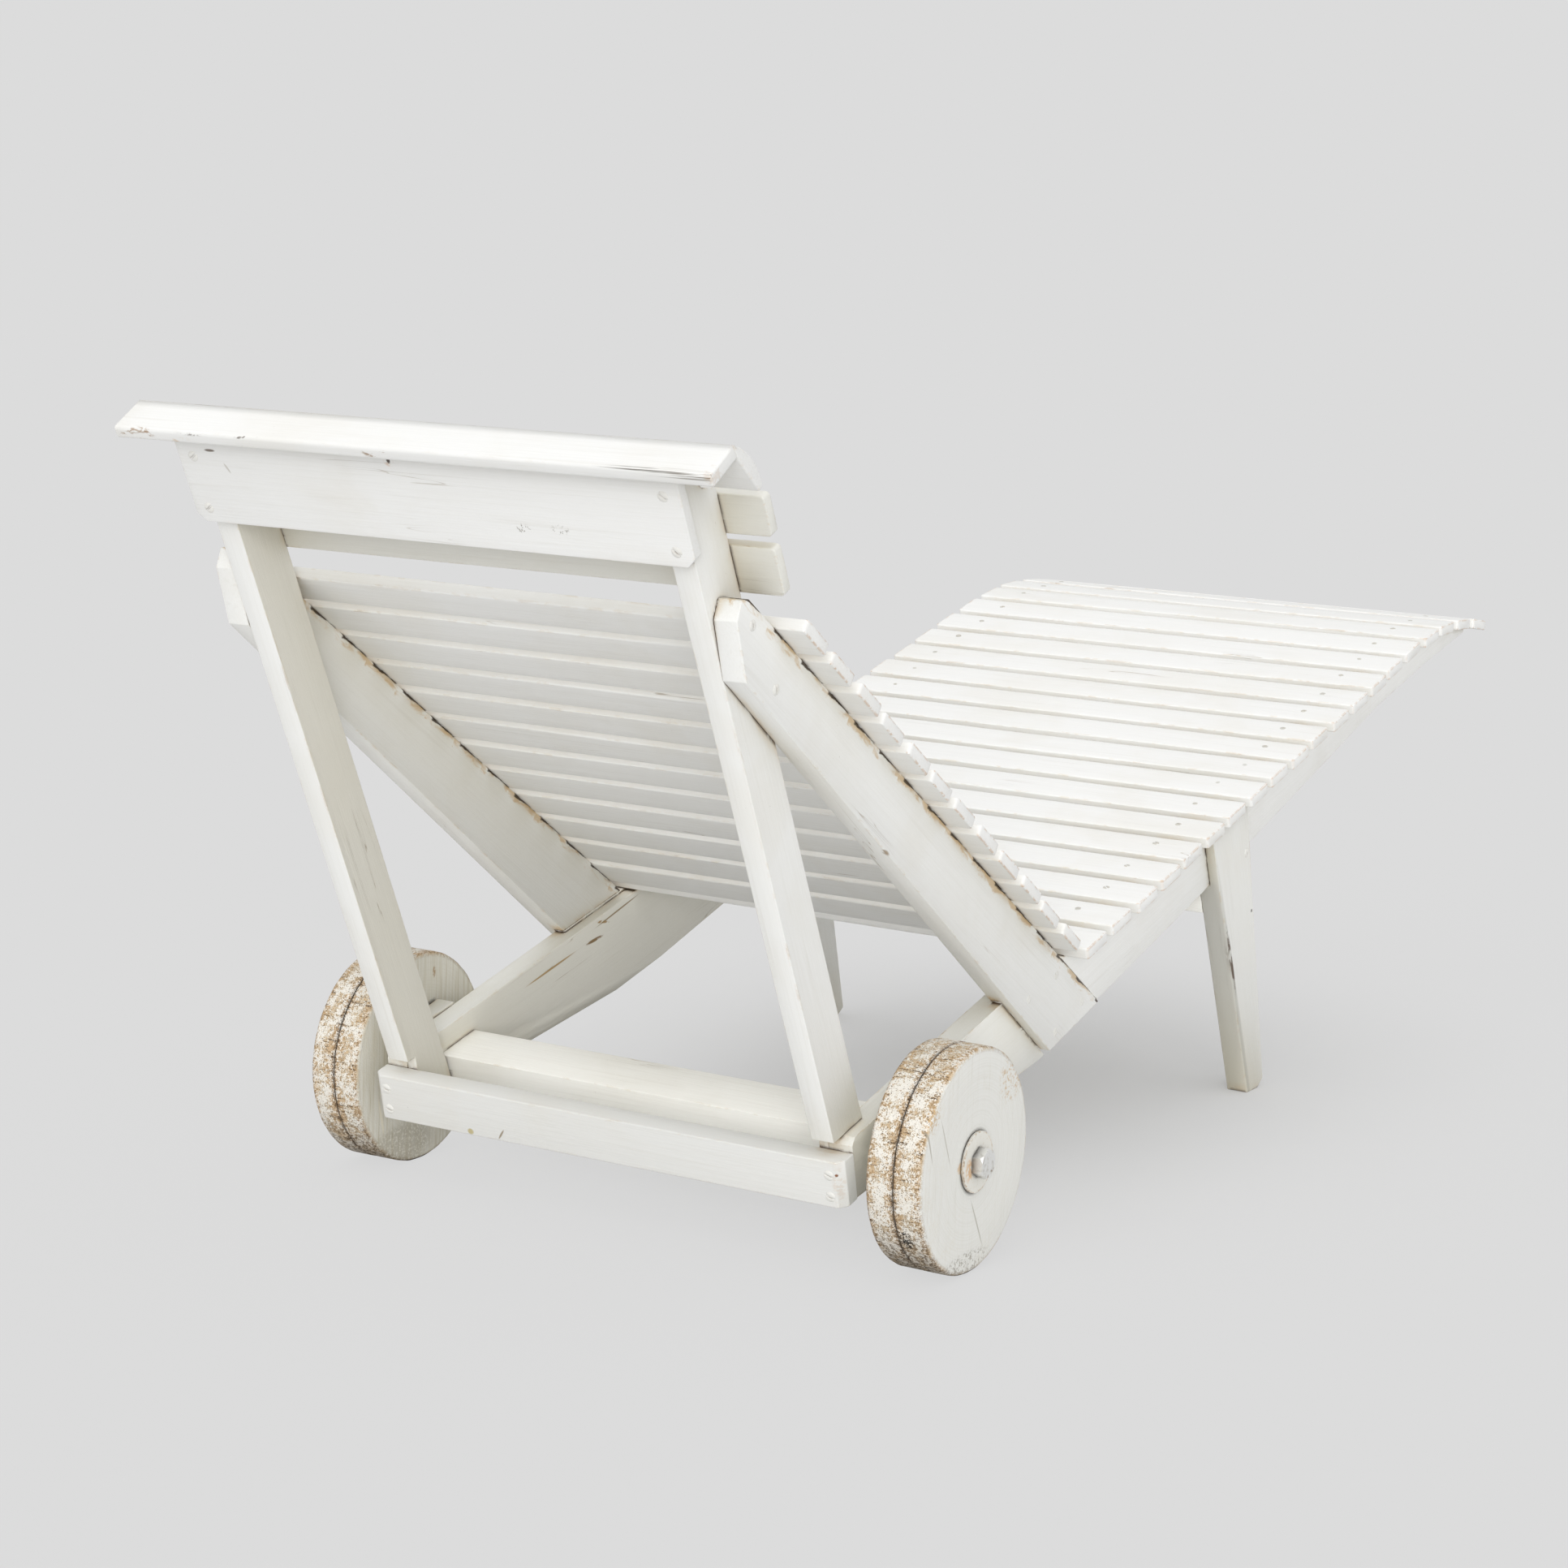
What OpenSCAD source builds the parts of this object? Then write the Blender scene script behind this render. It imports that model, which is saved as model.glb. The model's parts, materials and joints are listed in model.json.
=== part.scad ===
// Wheeled wooden deck chair: a long slatted seat that rises towards the feet,
// a fixed slatted back, a raised headrest on two leaning posts, two wooden
// wheels under the head end and two short legs under the knees.
// X is the width, the head end is towards +Y, the foot end towards -Y and +Z is
// up. The floor is Z = 0 and the sitter's right-hand side is -X.

/* [Side frames] */
// Width over the seat and back rails, outside to outside
rails_w = 512; // [440:2:620]
// Thickness of the seat and back rails
rail_t = 22; // [18:0.5:30]
// Thickness of the wheel beams
beam_t = 23; // [18:0.5:30]
// How far the wheel beams stand in from the rails' outer faces
beam_in = 11; // [8:0.5:14]
// Thickness of the legs
leg_t = 23; // [20:0.5:30]
// How far the legs stand out past the rails
leg_out = 11; // [8:0.5:14]
// Thickness of the headrest posts
post_t = 22; // [16:0.5:30]

/* [Seat] */
// Height of the corner where the seat meets the back, on the rails' top edges
elbow_z = 219.6; // [200:1:300]
// Distance from the axle forwards to that corner
elbow_run = 285.6; // [250:1:330]
// Rise of the seat towards the feet, in degrees
seat_tilt = 14.1; // [8:0.1:18]
// Straight part of the seat rail, from the corner to where it curves down
seat_run = 850; // [700:1:900]
// Radius of the curve at the foot end
foot_r = 560; // [400:10:700]
// Length of the curved end
foot_run = 230; // [180:1:260]
// Depth of the seat rail at the corner
seat_deep = 75; // [66:1:90]
// Depth of the seat rail a third of the way along
seat_mid_deep = 67.5; // [60:0.5:80]
// Depth of the seat rail where it starts to curve
seat_foot_deep = 44; // [36:1:60]
// Depth of the rail's nose
nose_deep = 6; // [5:1:16]

/* [Back] */
// Slope of the back, in degrees
back_tilt = 33.2; // [25:0.1:45]
// Length of the back rail above the corner
back_run = 709; // [640:1:720]
// Depth of the back rail at the corner
back_deep = 78.5; // [70:0.5:95]
// Depth of the back rail at its head end
back_head_deep = 53; // [45:1:65]
// Length of the back rail's heel below the corner, along its front edge
heel_run = 104; // [90:1:120]
// How far the heel reaches below the seat rail
heel_down = 4; // [0:0.5:8]

/* [Wheel beams] */
// Length of the beam behind the corner
beam_rear_run = 382; // [370:1:420]
// Drop of the beam's top edge below the line of the seat rail's
beam_drop = 2; // [0:0.5:4]
// Depth of the beam at its rear end
beam_rear_deep = 57; // [50:1:70]
// Cut across the corner at the top of its rear end
beam_cut = 6; // [2:1:12]
// Depth of the beam at its deepest, just behind the corner
beam_deep = 89; // [80:1:96]
// Distance of the deepest place behind the corner
beam_deep_run = 40; // [20:1:60]
// Slope of the beam's lower edge against the seat in front of that, in degrees
beam_taper = 2.6; // [0:0.1:4]

/* [Slats] */
// Length of the seat and back slats
slat_len = 568; // [540:2:640]
// Width of a seat slat
slat_w = 43; // [34:0.5:46]
// Width of a back slat
back_slat_w = 42; // [34:0.5:46]
// Thickness of a slat
slat_t = 11; // [9:0.5:16]
// Rounding of a slat's long edges
slat_edge_r = 2.5; // [1:0.5:4]
// Rounding of a slat's corners, seen from above
slat_corner_r = 6; // [2:1:12]
// Number of seat slats
seat_slats = 20; // [16:1:21]
// How far the last seat slat reaches past the rails' ends
seat_slat_over = 7.3; // [4:0.1:12]
// Number of back slats
back_slats = 12; // [10:1:13]
// Distance from the back rails' head ends down to the last slat
back_slat_stop = 57; // [55:1:80]
// First seat slat, in front of the corner
seat_slat_start = 5; // [3:0.5:12]
// First back slat, above the corner
back_slat_start = 22.5; // [18:0.5:24]

/* [Headrest] */
// Lean of the posts, in degrees
post_tilt = 26.1; // [22:0.1:30]
// Depth of a post, front to back
post_w = 49; // [40:1:60]
// Where the line of the posts' rear faces meets the floor, behind the axle
post_run = 35.4; // [25:0.2:50]
// Height of the lower front slat, up the post
head_slat_start = 648.5; // [640:0.5:680]
// Width of the lower front slat
head_slat_w = 43; // [34:0.5:46]
// Width of the upper front slat
head_slat_upper_w = 36; // [30:0.5:42]
// Gap between the two front slats
head_slat_gap = 10; // [4:0.5:14]
// Length of the front slats
head_len = 552; // [530:2:600]
// Height of the board behind the posts, up the post
head_board_start = 705; // [680:1:720]
// Length of that board
head_board_len = 484; // [470:1:520]
// Cut across the lower corners of that board
head_board_cut = 8; // [2:1:14]
// Thickness of the headrest's boards
head_t = 10; // [8:0.5:14]
// Length of the two cap boards
cap_len = 572; // [530:1:640]
// Thickness of the rear cap board
cap_t = 12; // [10:0.5:16]
// Height of the corner where the cap boards meet inside
ridge_z = 716.1; // [704:0.1:730]
// Distance of that corner behind the axle
ridge_run = 373.5; // [360:0.1:382]
// Slope of the rear cap board, in degrees
cap_rear_pitch = 33; // [24:1:42]
// Slope of the front cap board's inner face, in degrees
cap_front_pitch = 38; // [34:1:48]
// Width of the rear cap board, from that corner
cap_rear_w = 38; // [30:1:50]
// Width of the front cap board, from that corner
cap_front_w = 44; // [34:1:50]
// Radius to which the front cap board is planed round
cap_front_r = 55.5; // [52:0.5:75]
// Slope of that round at the ridge, in degrees
ridge_slope = 5; // [0:1:12]
// Height of the inner corner above the posts' shoulders in front of the cap
shoulder_down = 27.4; // [22:0.1:30]

/* [Cross rails and legs] */
// Thickness of the rear cross rail
rear_rail_t = 22; // [18:0.5:30]
// Height of the rear cross rail
rear_rail_h = 44; // [36:1:50]
// Drop of its top edge below the line of the seat rail's
rear_rail_drop = 14; // [10:1:20]
// Length of the rear cross rail
rear_rail_len = 492; // [480:1:520]
// Cut across the rear corners of its ends
rear_rail_cut = 7; // [2:1:12]
// Width of the axle beam, along the chair
axle_beam_w = 55; // [50:1:62]
// Height of the axle beam
axle_beam_h = 46; // [40:1:54]
// Thickness of the front cross rail
front_rail_t = 22; // [18:0.5:30]
// Height of the front cross rail
front_rail_h = 66; // [50:1:80]
// Height of the front cross rail's lower edge above the floor
front_rail_z = 203.5; // [190:0.5:206]
// Distance from the axle forwards to the legs' rear edges at the floor
leg_run = 730; // [700:1:780]
// Slope of the legs' rear edges from upright, in degrees
leg_rear_rake = 23.9; // [20:0.1:26]
// Slope of the legs' front edges from upright, in degrees
leg_front_rake = 15.5; // [12:0.1:19]
// Width of the foot, at the floor
foot_w = 43; // [36:1:56]
// Worn corner at the front of the foot
foot_cut = 8; // [2:1:14]
// Gap left between the leg's top and the slats
leg_top_gap = 1; // [0.5:0.5:6]

/* [Wheels] */
// Diameter of the wooden wheels
wheel_d = 200; // [180:2:220]
// Thickness of each of a wheel's two discs
disc_t = 26.5; // [20:0.1:30]
// Worn bevel at the rims
rim_bevel = 3; // [1:0.5:5]
// Bevel on each side of the seam between the discs
seam_bevel = 1; // [0.5:0.5:3]
// Diameter of the coach screws that carry the wheels
axle_d = 16; // [12:0.5:20]
// Play around the coach screws in the wheels
axle_play = 0.08; // [0.04:0.01:0.1]
// Gap beside the wheel, on each side
wheel_gap = 0.5; // [0.4:0.1:1.5]
// Thickness of the spacer block between beam and wheel
block_t = 19; // [14:0.5:26]
// Length of the spacer block
block_l = 64; // [60:1:100]
// Height of the spacer block
block_h = 75; // [60:1:80]
// Outer diameter of the outer washers
washer_d = 54; // [40:1:60]
// Outer diameter of the inner washers
inner_washer_d = 38; // [30:1:44]
// Thickness of the washers
washer_t = 2.5; // [1.5:0.5:4]
// Size of the coach screw's head across its flats
hex_af = 24; // [18:1:30]
// Height of the coach screw's head
hex_h = 10; // [7:0.5:14]
// Grip of the coach screw in the axle beam's end grain
screw_grip = 60; // [40:1:90]

/* [Hidden] */
$fn = 64;
far = 2000;
// Place s beyond the corner on the rail's top, lifted by h; it follows the curve
function turn(s) = max(0, s - seat_run) / foot_r * 180 / PI;
function seat_pt(s, h) = s <= seat_run ? [-s, h] :
    [-seat_run - (foot_r + h) * sin(turn(s)), (foot_r + h) * cos(turn(s)) - foot_r];
// The slats share out the length of their rails
seat_pitch = (seat_run + foot_run + seat_slat_over - slat_w - seat_slat_start)
    / (seat_slats - 1);
back_pitch = (back_run - back_slat_stop - back_slat_w - back_slat_start) / (back_slats - 1);
// Places along Y and up Z; Y = 0 is the middle between the last slat and the cap
last_s = seat_slat_start + (seat_slats - 1) * seat_pitch + slat_w / 2;
last_turn = turn(last_s) - seat_tilt;
foot_reach = elbow_run - seat_pt(last_s, 0) * [cos(seat_tilt), sin(seat_tilt)] + slat_edge_r
    + (slat_w / 2 - slat_edge_r) * cos(last_turn) + (slat_t - slat_edge_r) * sin(last_turn);
head_reach = ridge_run + cap_rear_w * cos(cap_rear_pitch) + cap_t * sin(cap_rear_pitch);
axle_y = (foot_reach - head_reach) / 2;
axle_z = wheel_d / 2;
elbow_y = axle_y - elbow_run;
// Places across the width, from the middle plane
rail_x1 = rails_w / 2;                // outer face of the seat and back rails
rail_x0 = rail_x1 - rail_t;           // their inner face
lap_x = rail_x1 - beam_in;            // where seat and back rail meet in the lap
beam_x1 = lap_x;                      // outer face of a wheel beam
beam_x0 = beam_x1 - beam_t;           // its inner face
leg_x1 = rail_x1 + leg_out;           // outer face of a leg
leg_x0 = leg_x1 - leg_t;              // its inner face
post_x1 = rail_x0;                    // a post is screwed against the back rail
post_x0 = post_x1 - post_t;
block_x1 = beam_x1 + block_t;
wheel_x0 = block_x1 + washer_t + wheel_gap;
wheel_x1 = wheel_x0 + 2 * disc_t;
head_x0 = wheel_x1 + wheel_gap + washer_t;
// Axle centre in the seat's own frame: along the rail top, and square to it
axle_s = elbow_run * cos(seat_tilt) + (elbow_z - axle_z) * sin(seat_tilt);
axle_h = elbow_run * sin(seat_tilt) - (elbow_z - axle_z) * cos(seat_tilt);
// Depth of the back rail at s along it, and of the beam at s behind the corner
function back_rail_deep(s) = back_deep + (back_head_deep - back_deep) * s / back_run;
function beam_rear_line(s) = beam_deep
    + (beam_rear_deep - beam_deep) * (s - beam_deep_run) / (beam_rear_run - beam_deep_run);
nose_r = nose_deep / 2;
foot_steps = 12;
// Y of a leg's edges at the height z
function leg_rear_y(z) = axle_y - leg_run + z * tan(leg_rear_rake);
function leg_front_y(z) = axle_y - leg_run - foot_w + z * tan(leg_front_rake);

function slat_name(stem, i) = str(stem, i < 10 ? "0" : "", i);

// Frames of reference, drawn flat with Y and Z as x and y: the seat's and the
// back's start at the corner, the post's where its rear face meets the floor
module seat_frame() translate([elbow_y, elbow_z]) rotate(-seat_tilt) children();
module back_frame() translate([elbow_y, elbow_z]) rotate(back_tilt) children();
module post_frame() translate([axle_y + post_run, 0]) rotate(-post_tilt) children();
// A flat outline made a board that stands from x0 to x1
module board(x0, x1) translate([x0, 0, 0]) rotate([90, 0, 90])
    linear_extrude(x1 - x0) children();
// The same frames for slats that lie across the chair
module across_seat() translate([0, elbow_y, elbow_z]) rotate([-seat_tilt, 0, 0]) children();
module across_back() translate([0, elbow_y, elbow_z]) rotate([back_tilt, 0, 0]) children();
module across_post() translate([0, axle_y + post_run, 0]) rotate([-post_tilt, 0, 0]) children();
// The right-hand copy of a piece drawn on the left, and both of them
module right() mirror([1, 0, 0]) children();
module both() for (m = [0, 1]) mirror([m, 0, 0]) children();

module rounded(w, h, r) {
    translate([r, 0]) square([w - 2 * r, h]);
    translate([0, r]) square([w, h - 2 * r]);
    for (x = [r, w - r], y = [r, h - r]) translate([x, y]) circle(r);
}

// A board's flat outline, from y = 0 to y = w, with the corners at y = 0 cut off
module cut_board(len, w, cut) polygon([[-len / 2, cut], [-len / 2 + cut, 0],
    [len / 2 - cut, 0], [len / 2, cut], [len / 2, w], [-len / 2, w]]);

// A slat across the chair, its lower face on Z = 0, running from Y = 0 to Y = w
module slat(len, w, t, edge = slat_edge_r, corner = slat_corner_r) {
    intersection() {
        translate([-len / 2, 0, 0]) rotate([90, 0, 90]) linear_extrude(len)
            rounded(w, t, edge);
        translate([-len / 2, 0, 0]) linear_extrude(t) rounded(len, w, corner);
    }
}

// Outlines of the side frame's boards
module back_rail_outline() back_frame() {
    polygon([[-heel_run, 0], [back_run - 9, 0], [back_run, -6],
        [back_run - 4, -23], [back_run - 45, -back_rail_deep(back_run - 45)],
        [-heel_run / 3, -back_rail_deep(-heel_run / 3)]]);
}
// All that lies behind and below the back rail's lower edge
module behind_back() back_frame() polygon([
    [-far, -back_rail_deep(-far)], [far, -back_rail_deep(far)],
    [far, -far], [-far, -far]]);

// All that lies below the line of the seat's, or of the back's, top edges
module below_seat() seat_frame() translate([-far, -far]) square([2 * far, far]);
module below_back() back_frame() translate([-far, -far]) square([2 * far, far]);

module seat_rail_outline() difference() {
    seat_frame() {
        polygon(concat(
            [[2 * heel_run, -seat_deep], [2 * heel_run, 0], [-seat_run, 0]],
            [for (i = [1:foot_steps]) seat_pt(seat_run + foot_run * i / foot_steps, 0)],
            [seat_pt(seat_run + foot_run, -nose_deep), [-seat_run - 96, -seat_foot_deep - 2],
             [-seat_run + 50, -seat_foot_deep], [-seat_run / 2.75, -seat_mid_deep],
             [0, -seat_deep]]));
        // rounded nose
        translate(seat_pt(seat_run + foot_run, -nose_r)) circle(nose_r);
    }
    behind_back();
}

module wheel_beam_outline() seat_frame() polygon([
    [beam_rear_run - beam_cut, -beam_drop], [beam_rear_run, -beam_drop - beam_cut],
    [beam_rear_run, -beam_rear_deep],
    [beam_deep_run, -beam_deep], [-beam_deep_run, -beam_deep],
    [-seat_run, -beam_deep + (seat_run - beam_deep_run) * tan(beam_taper)],
    [-seat_run, -beam_drop]]);
// All that lies in front of the legs' rear edges
module before_leg() translate([leg_rear_y(0), 0]) rotate(-leg_rear_rake)
    translate([-far, -far]) square([far, 2 * far]);

module leg_outline() intersection() {
    polygon([
        [leg_rear_y(0), 0], [leg_rear_y(far), far], [leg_front_y(far), far],
        [leg_front_y(foot_cut), foot_cut], [leg_front_y(0) + 2 * foot_cut, 0]]);
    // the top is cut to the seat rail's
    seat_frame() translate([-far, -far - leg_top_gap]) square([2 * far, far]);
}

// Section of the cap, about the corner where its boards meet inside
module at_ridge() translate([axle_y + ridge_run, ridge_z]) children();
// All that lies under the cap boards
module under_cap() intersection() {
    rotate(-cap_rear_pitch) translate([-far, -far]) square([2 * far, far]);
    rotate(cap_front_pitch) translate([-far, -far]) square([2 * far, far]);
}
// All that lies below the posts' shoulders
module below_shoulder() translate([-far, -far - shoulder_down]) square([2 * far, far]);
// The ridge's outer corner, and the centre of the round planed on the front board
ridge_top = cap_t * [sin(cap_rear_pitch), cos(cap_rear_pitch)];
round_centre = ridge_top + cap_front_r * [sin(ridge_slope), -cos(ridge_slope)];
// Both cap boards
module cap_section() difference() {
    intersection() {
        rotate(-cap_rear_pitch) translate([-far, cap_t - far]) square([far + cap_rear_w, far]);
        rotate(cap_front_pitch) translate([-cap_front_w, -far]) square([far, 2 * far]);
        translate(round_centre) circle(cap_front_r);
    }
    under_cap();
    below_shoulder();
}
// All that lies behind the seam between them
module behind_seam() translate([0, -far])
    polygon([[0, 0], [0, far], ridge_top + [0, far], [ridge_top[0], 2 * far], [far, 2 * far],
        [far, 0]]);

module post_outline() intersection() {
    post_frame() translate([-post_w, 0]) square([post_w, far]);
    at_ridge() {
        under_cap();
        below_shoulder();
    }
}

module axle_beam_outline() seat_frame()
    translate([axle_s - axle_beam_w / 2, axle_h - axle_beam_h / 2])
    square([axle_beam_w, axle_beam_h]);

module front_rail_outline() translate([leg_rear_y(front_rail_z), front_rail_z])
    rotate(-leg_rear_rake) translate([-front_rail_t, 0])
    square([front_rail_t, front_rail_h]);

// Clearance holes for the coach screws
screw_hole_d = axle_d + 0.2;
module on_axle(x) translate([x, axle_y, axle_z]) rotate([0, 90, 0]) children();
module axle_hole(x0, x1) on_axle(x0) cylinder(h = x1 - x0, d = screw_hole_d);

// Side frame: seat and back rail are each cut to half thickness where they cross
module seat_rail() color("#dcdcd6") difference() {
    board(rail_x0, rail_x1) seat_rail_outline();
    board(lap_x, rail_x1 + 1) below_back();
}

module back_rail() color("#d8d8d2") difference() {
    board(rail_x0, rail_x1) back_rail_outline();
    board(rail_x0 - 1, lap_x) below_seat();
}

// The beam is thinned to pass inside the rails
module wheel_beam() color("#dededa") difference() {
    board(beam_x0, beam_x1) wheel_beam_outline();
    board(rail_x0, beam_x1 + 1) difference() {
        translate([-far, -far]) square(2 * far);
        behind_back();
    }
    // and ends at the front cross rail
    board(beam_x0 - 1, rail_x0 + 1) before_leg();
    axle_hole(beam_x0 - 1, beam_x1 + 1);
}

module front_leg() color("#d4d4ce") difference() {
    board(leg_x0, leg_x1) leg_outline();
    board(leg_x0 - 1, rail_x1) seat_rail_outline();
}

module headrest_post() color("#d2d2cc") difference() {
    board(post_x0, post_x1) post_outline();
    // the outer part of the foot stands on the wheel beam
    board(beam_x0, post_x1 + 1) seat_frame() translate([-far, -far])
        square([2 * far, far - beam_drop]);
    // the inner part goes down between the cross rails to the beam's lower edge
    board(post_x0 - 1, beam_x0) {
        axle_beam_outline();
        seat_frame() translate([beam_rear_run, -far]) square([far, far - beam_drop]);
        seat_frame() polygon([[0, -beam_rear_line(0)],
            [2 * beam_rear_run, -beam_rear_line(2 * beam_rear_run)],
            [2 * beam_rear_run, -far], [0, -far]]);
    }
}

// Cross rails
module rear_cross_rail() color("#d6d6d0") across_seat()
    translate([0, beam_rear_run, -rear_rail_drop - rear_rail_h]) linear_extrude(rear_rail_h)
    mirror([0, 1]) translate([0, -rear_rail_t]) cut_board(rear_rail_len, rear_rail_t, rear_rail_cut);

module axle_beam() color("#dededa") difference() {
    board(-beam_x0, beam_x0) axle_beam_outline();
    both() axle_hole(beam_x0 - screw_grip - 2, beam_x0 + 1);
}

module front_cross_rail() color("#8d8272") difference() {
    board(-leg_x0, leg_x0) front_rail_outline();
    both() board(rail_x0, leg_x0 + 1) seat_rail_outline();
}

// Slats
module seat_slat(i) {
    s = seat_slat_start + (i - 1) * seat_pitch + slat_w / 2;
    p = seat_pt(s, 0);
    color("#e2e2de") across_seat() translate([0, p[0], p[1]]) rotate([turn(s), 0, 0])
        translate([0, -slat_w / 2, 0]) slat(slat_len, slat_w, slat_t);
}

module back_slat(i) color("#dcdcd8") across_back()
    translate([0, back_slat_start + (i - 1) * back_pitch, 0])
    slat(slat_len, back_slat_w, slat_t);

// Headrest
module headrest_slat(start, w) color("#dadad4") across_post()
    translate([0, -post_w, start]) rotate([90, 0, 0]) slat(head_len, w, head_t);

module headrest_slat_lower() headrest_slat(head_slat_start, head_slat_w);
module headrest_slat_upper()
    headrest_slat(head_slat_start + head_slat_w + head_slat_gap, head_slat_upper_w);

// The board behind the posts reaches up to the cap
module headrest_board() color("#dcdcd6") intersection() {
    across_post() translate([0, head_t, head_board_start]) rotate([90, 0, 0])
        linear_extrude(head_t) cut_board(head_board_len, ridge_z, head_board_cut);
    board(-head_board_len / 2, head_board_len / 2) at_ridge() under_cap();
}

module headrest_cap_rear() color("#e4e4e0") board(-cap_len / 2, cap_len / 2) at_ridge()
    intersection() {
        cap_section();
        behind_seam();
    }

module headrest_cap_front() color("#e0e0dc") board(-cap_len / 2, cap_len / 2) at_ridge()
    difference() {
        cap_section();
        behind_seam();
    }

// Wheels and their coach screws, drawn about an axis along X
module axle_block() color("#cfcabf") difference() {
    board(beam_x1, block_x1) seat_frame() translate([axle_s - block_l / 2, -block_h])
        square([block_l, block_h]);
    axle_hole(beam_x1 - 1, block_x1 + 1);
}

// One disc of a wheel, bevelled at its inner and its outer rim
module disc(x, in_bevel, out_bevel) on_axle(x) difference() {
    rotate_extrude() polygon([
        [0, 0], [wheel_d / 2 - in_bevel, 0], [wheel_d / 2, in_bevel],
        [wheel_d / 2, disc_t - out_bevel], [wheel_d / 2 - out_bevel, disc_t],
        [0, disc_t]]);
    translate([0, 0, -1]) cylinder(h = disc_t + 2, d = axle_d + 2 * axle_play);
}

module wheel_inner_disc() color("#c9b79c") disc(wheel_x0, rim_bevel, seam_bevel);
module wheel_outer_disc() color("#d8d4cb") disc(wheel_x0 + disc_t, seam_bevel, rim_bevel);

module axle_screw() {
    tip = axle_d / 2;
    start = beam_x0 - screw_grip;
    on_axle(start + tip) cylinder(h = head_x0 - start - tip, d = axle_d);
    on_axle(start) cylinder(h = tip, d1 = axle_d / 4, d2 = axle_d);
    // hexagonal head with its corners turned off
    on_axle(head_x0) intersection() {
        cylinder(h = hex_h, d = hex_af / cos(30), $fn = 6);
        cylinder(h = hex_h, d1 = hex_af * 1.6, d2 = hex_af * 1.02);
    }
}

module axle_screws() color("#8f7a55") both() axle_screw();

module washer(x, d) on_axle(x) difference() {
    cylinder(h = washer_t, d = d);
    translate([0, 0, -1]) cylinder(h = washer_t + 2, d = screw_hole_d);
}

module axle_washers() color("#a89f8c") both() {
    washer(block_x1, inner_washer_d);
    washer(wheel_x1 + wheel_gap, washer_d);
}

right() seat_rail();  // seat_rail_right
seat_rail();  // seat_rail_left
right() back_rail();  // back_rail_right
back_rail();  // back_rail_left
right() wheel_beam();  // wheel_beam_right
wheel_beam();  // wheel_beam_left
right() front_leg();  // front_leg_right
front_leg();  // front_leg_left
right() headrest_post();  // headrest_post_right
headrest_post();  // headrest_post_left
rear_cross_rail();
axle_beam();
front_cross_rail();
headrest_board();
headrest_cap_rear();
headrest_cap_front();
headrest_slat_upper();
headrest_slat_lower();
right() axle_block();  // axle_block_right
axle_block();  // axle_block_left
axle_screws();
axle_washers();
right() wheel_inner_disc();  // wheel_right_inner_disc
right() wheel_outer_disc();  // wheel_right_outer_disc
wheel_inner_disc();  // wheel_left_inner_disc
wheel_outer_disc();  // wheel_left_outer_disc
for (i = [1:seat_slats]) seat_slat(i);
for (i = [1:back_slats]) back_slat(i);
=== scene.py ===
# %% [markdown]
# # A wheeled wooden deck chair
# The real chair is knocked together from sawn softwood boards, nailed and screwed, and
# brushed with white oil paint many times over. The part's solids give every board its
# exact place and size. This script dresses them: it eases their edges, makes the slats
# and wheels a little uneven, puts in the screws and nails, and mixes the old paint.

import json
import math

import bmesh
import bpy
import numpy as np
from mathutils import Matrix, Vector

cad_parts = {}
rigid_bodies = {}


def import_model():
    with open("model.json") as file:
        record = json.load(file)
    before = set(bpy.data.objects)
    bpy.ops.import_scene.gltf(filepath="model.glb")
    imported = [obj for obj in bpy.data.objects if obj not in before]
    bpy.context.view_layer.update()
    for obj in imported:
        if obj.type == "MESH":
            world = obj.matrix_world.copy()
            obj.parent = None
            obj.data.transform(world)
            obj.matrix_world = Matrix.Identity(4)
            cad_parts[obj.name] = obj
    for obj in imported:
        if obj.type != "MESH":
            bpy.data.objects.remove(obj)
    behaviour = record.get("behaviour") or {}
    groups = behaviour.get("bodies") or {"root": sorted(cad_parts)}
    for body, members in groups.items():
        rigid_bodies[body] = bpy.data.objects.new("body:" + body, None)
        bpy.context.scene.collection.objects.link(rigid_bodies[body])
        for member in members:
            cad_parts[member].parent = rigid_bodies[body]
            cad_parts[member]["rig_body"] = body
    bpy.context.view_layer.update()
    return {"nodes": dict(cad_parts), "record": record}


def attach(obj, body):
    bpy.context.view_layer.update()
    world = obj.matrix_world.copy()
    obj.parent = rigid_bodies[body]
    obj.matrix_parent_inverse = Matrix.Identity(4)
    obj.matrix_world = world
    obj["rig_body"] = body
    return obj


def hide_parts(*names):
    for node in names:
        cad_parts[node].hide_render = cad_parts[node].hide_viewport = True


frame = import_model()

# %% [markdown]
# ## The sizes that the surfaces share with the part
# The wheels' axis comes from the part's own joint. The seat and the back each have a frame
# of reference that starts at the corner where they meet, on the rails' top edges. A place
# is given as a run along the rail and a lift off it, both in metres, and these few
# functions turn it into the part's Y and Z. Slats start at their first run from the corner
# and follow each other by their pitch. The last line has the X of the rails' and the legs'
# outer faces, the posts' depth, and how far behind the axle their rear faces meet the floor.

# %% Frames of reference
AXLE_Y, AXLE_Z = frame["record"]["behaviour"]["joints"][0]["pos_m"][1:]
CORNER = np.array([AXLE_Y - 0.2856, 0.2196])
SEAT_TILT, BACK_TILT, POST_LEAN = map(math.radians, (14.1, 33.2, 26.1))
SEAT_RUN, FOOT_R = 0.850, 0.560
SEAT_PITCH, BACK_PITCH = 0.0547, 0.0534091
FIRST_SEAT_SLAT, FIRST_BACK_SLAT = 0.005, 0.0225
RAIL_OUT, LEG_OUT, POST_DEPTH, POST_BACK = 0.256, 0.267, 0.049, 0.0354


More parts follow.
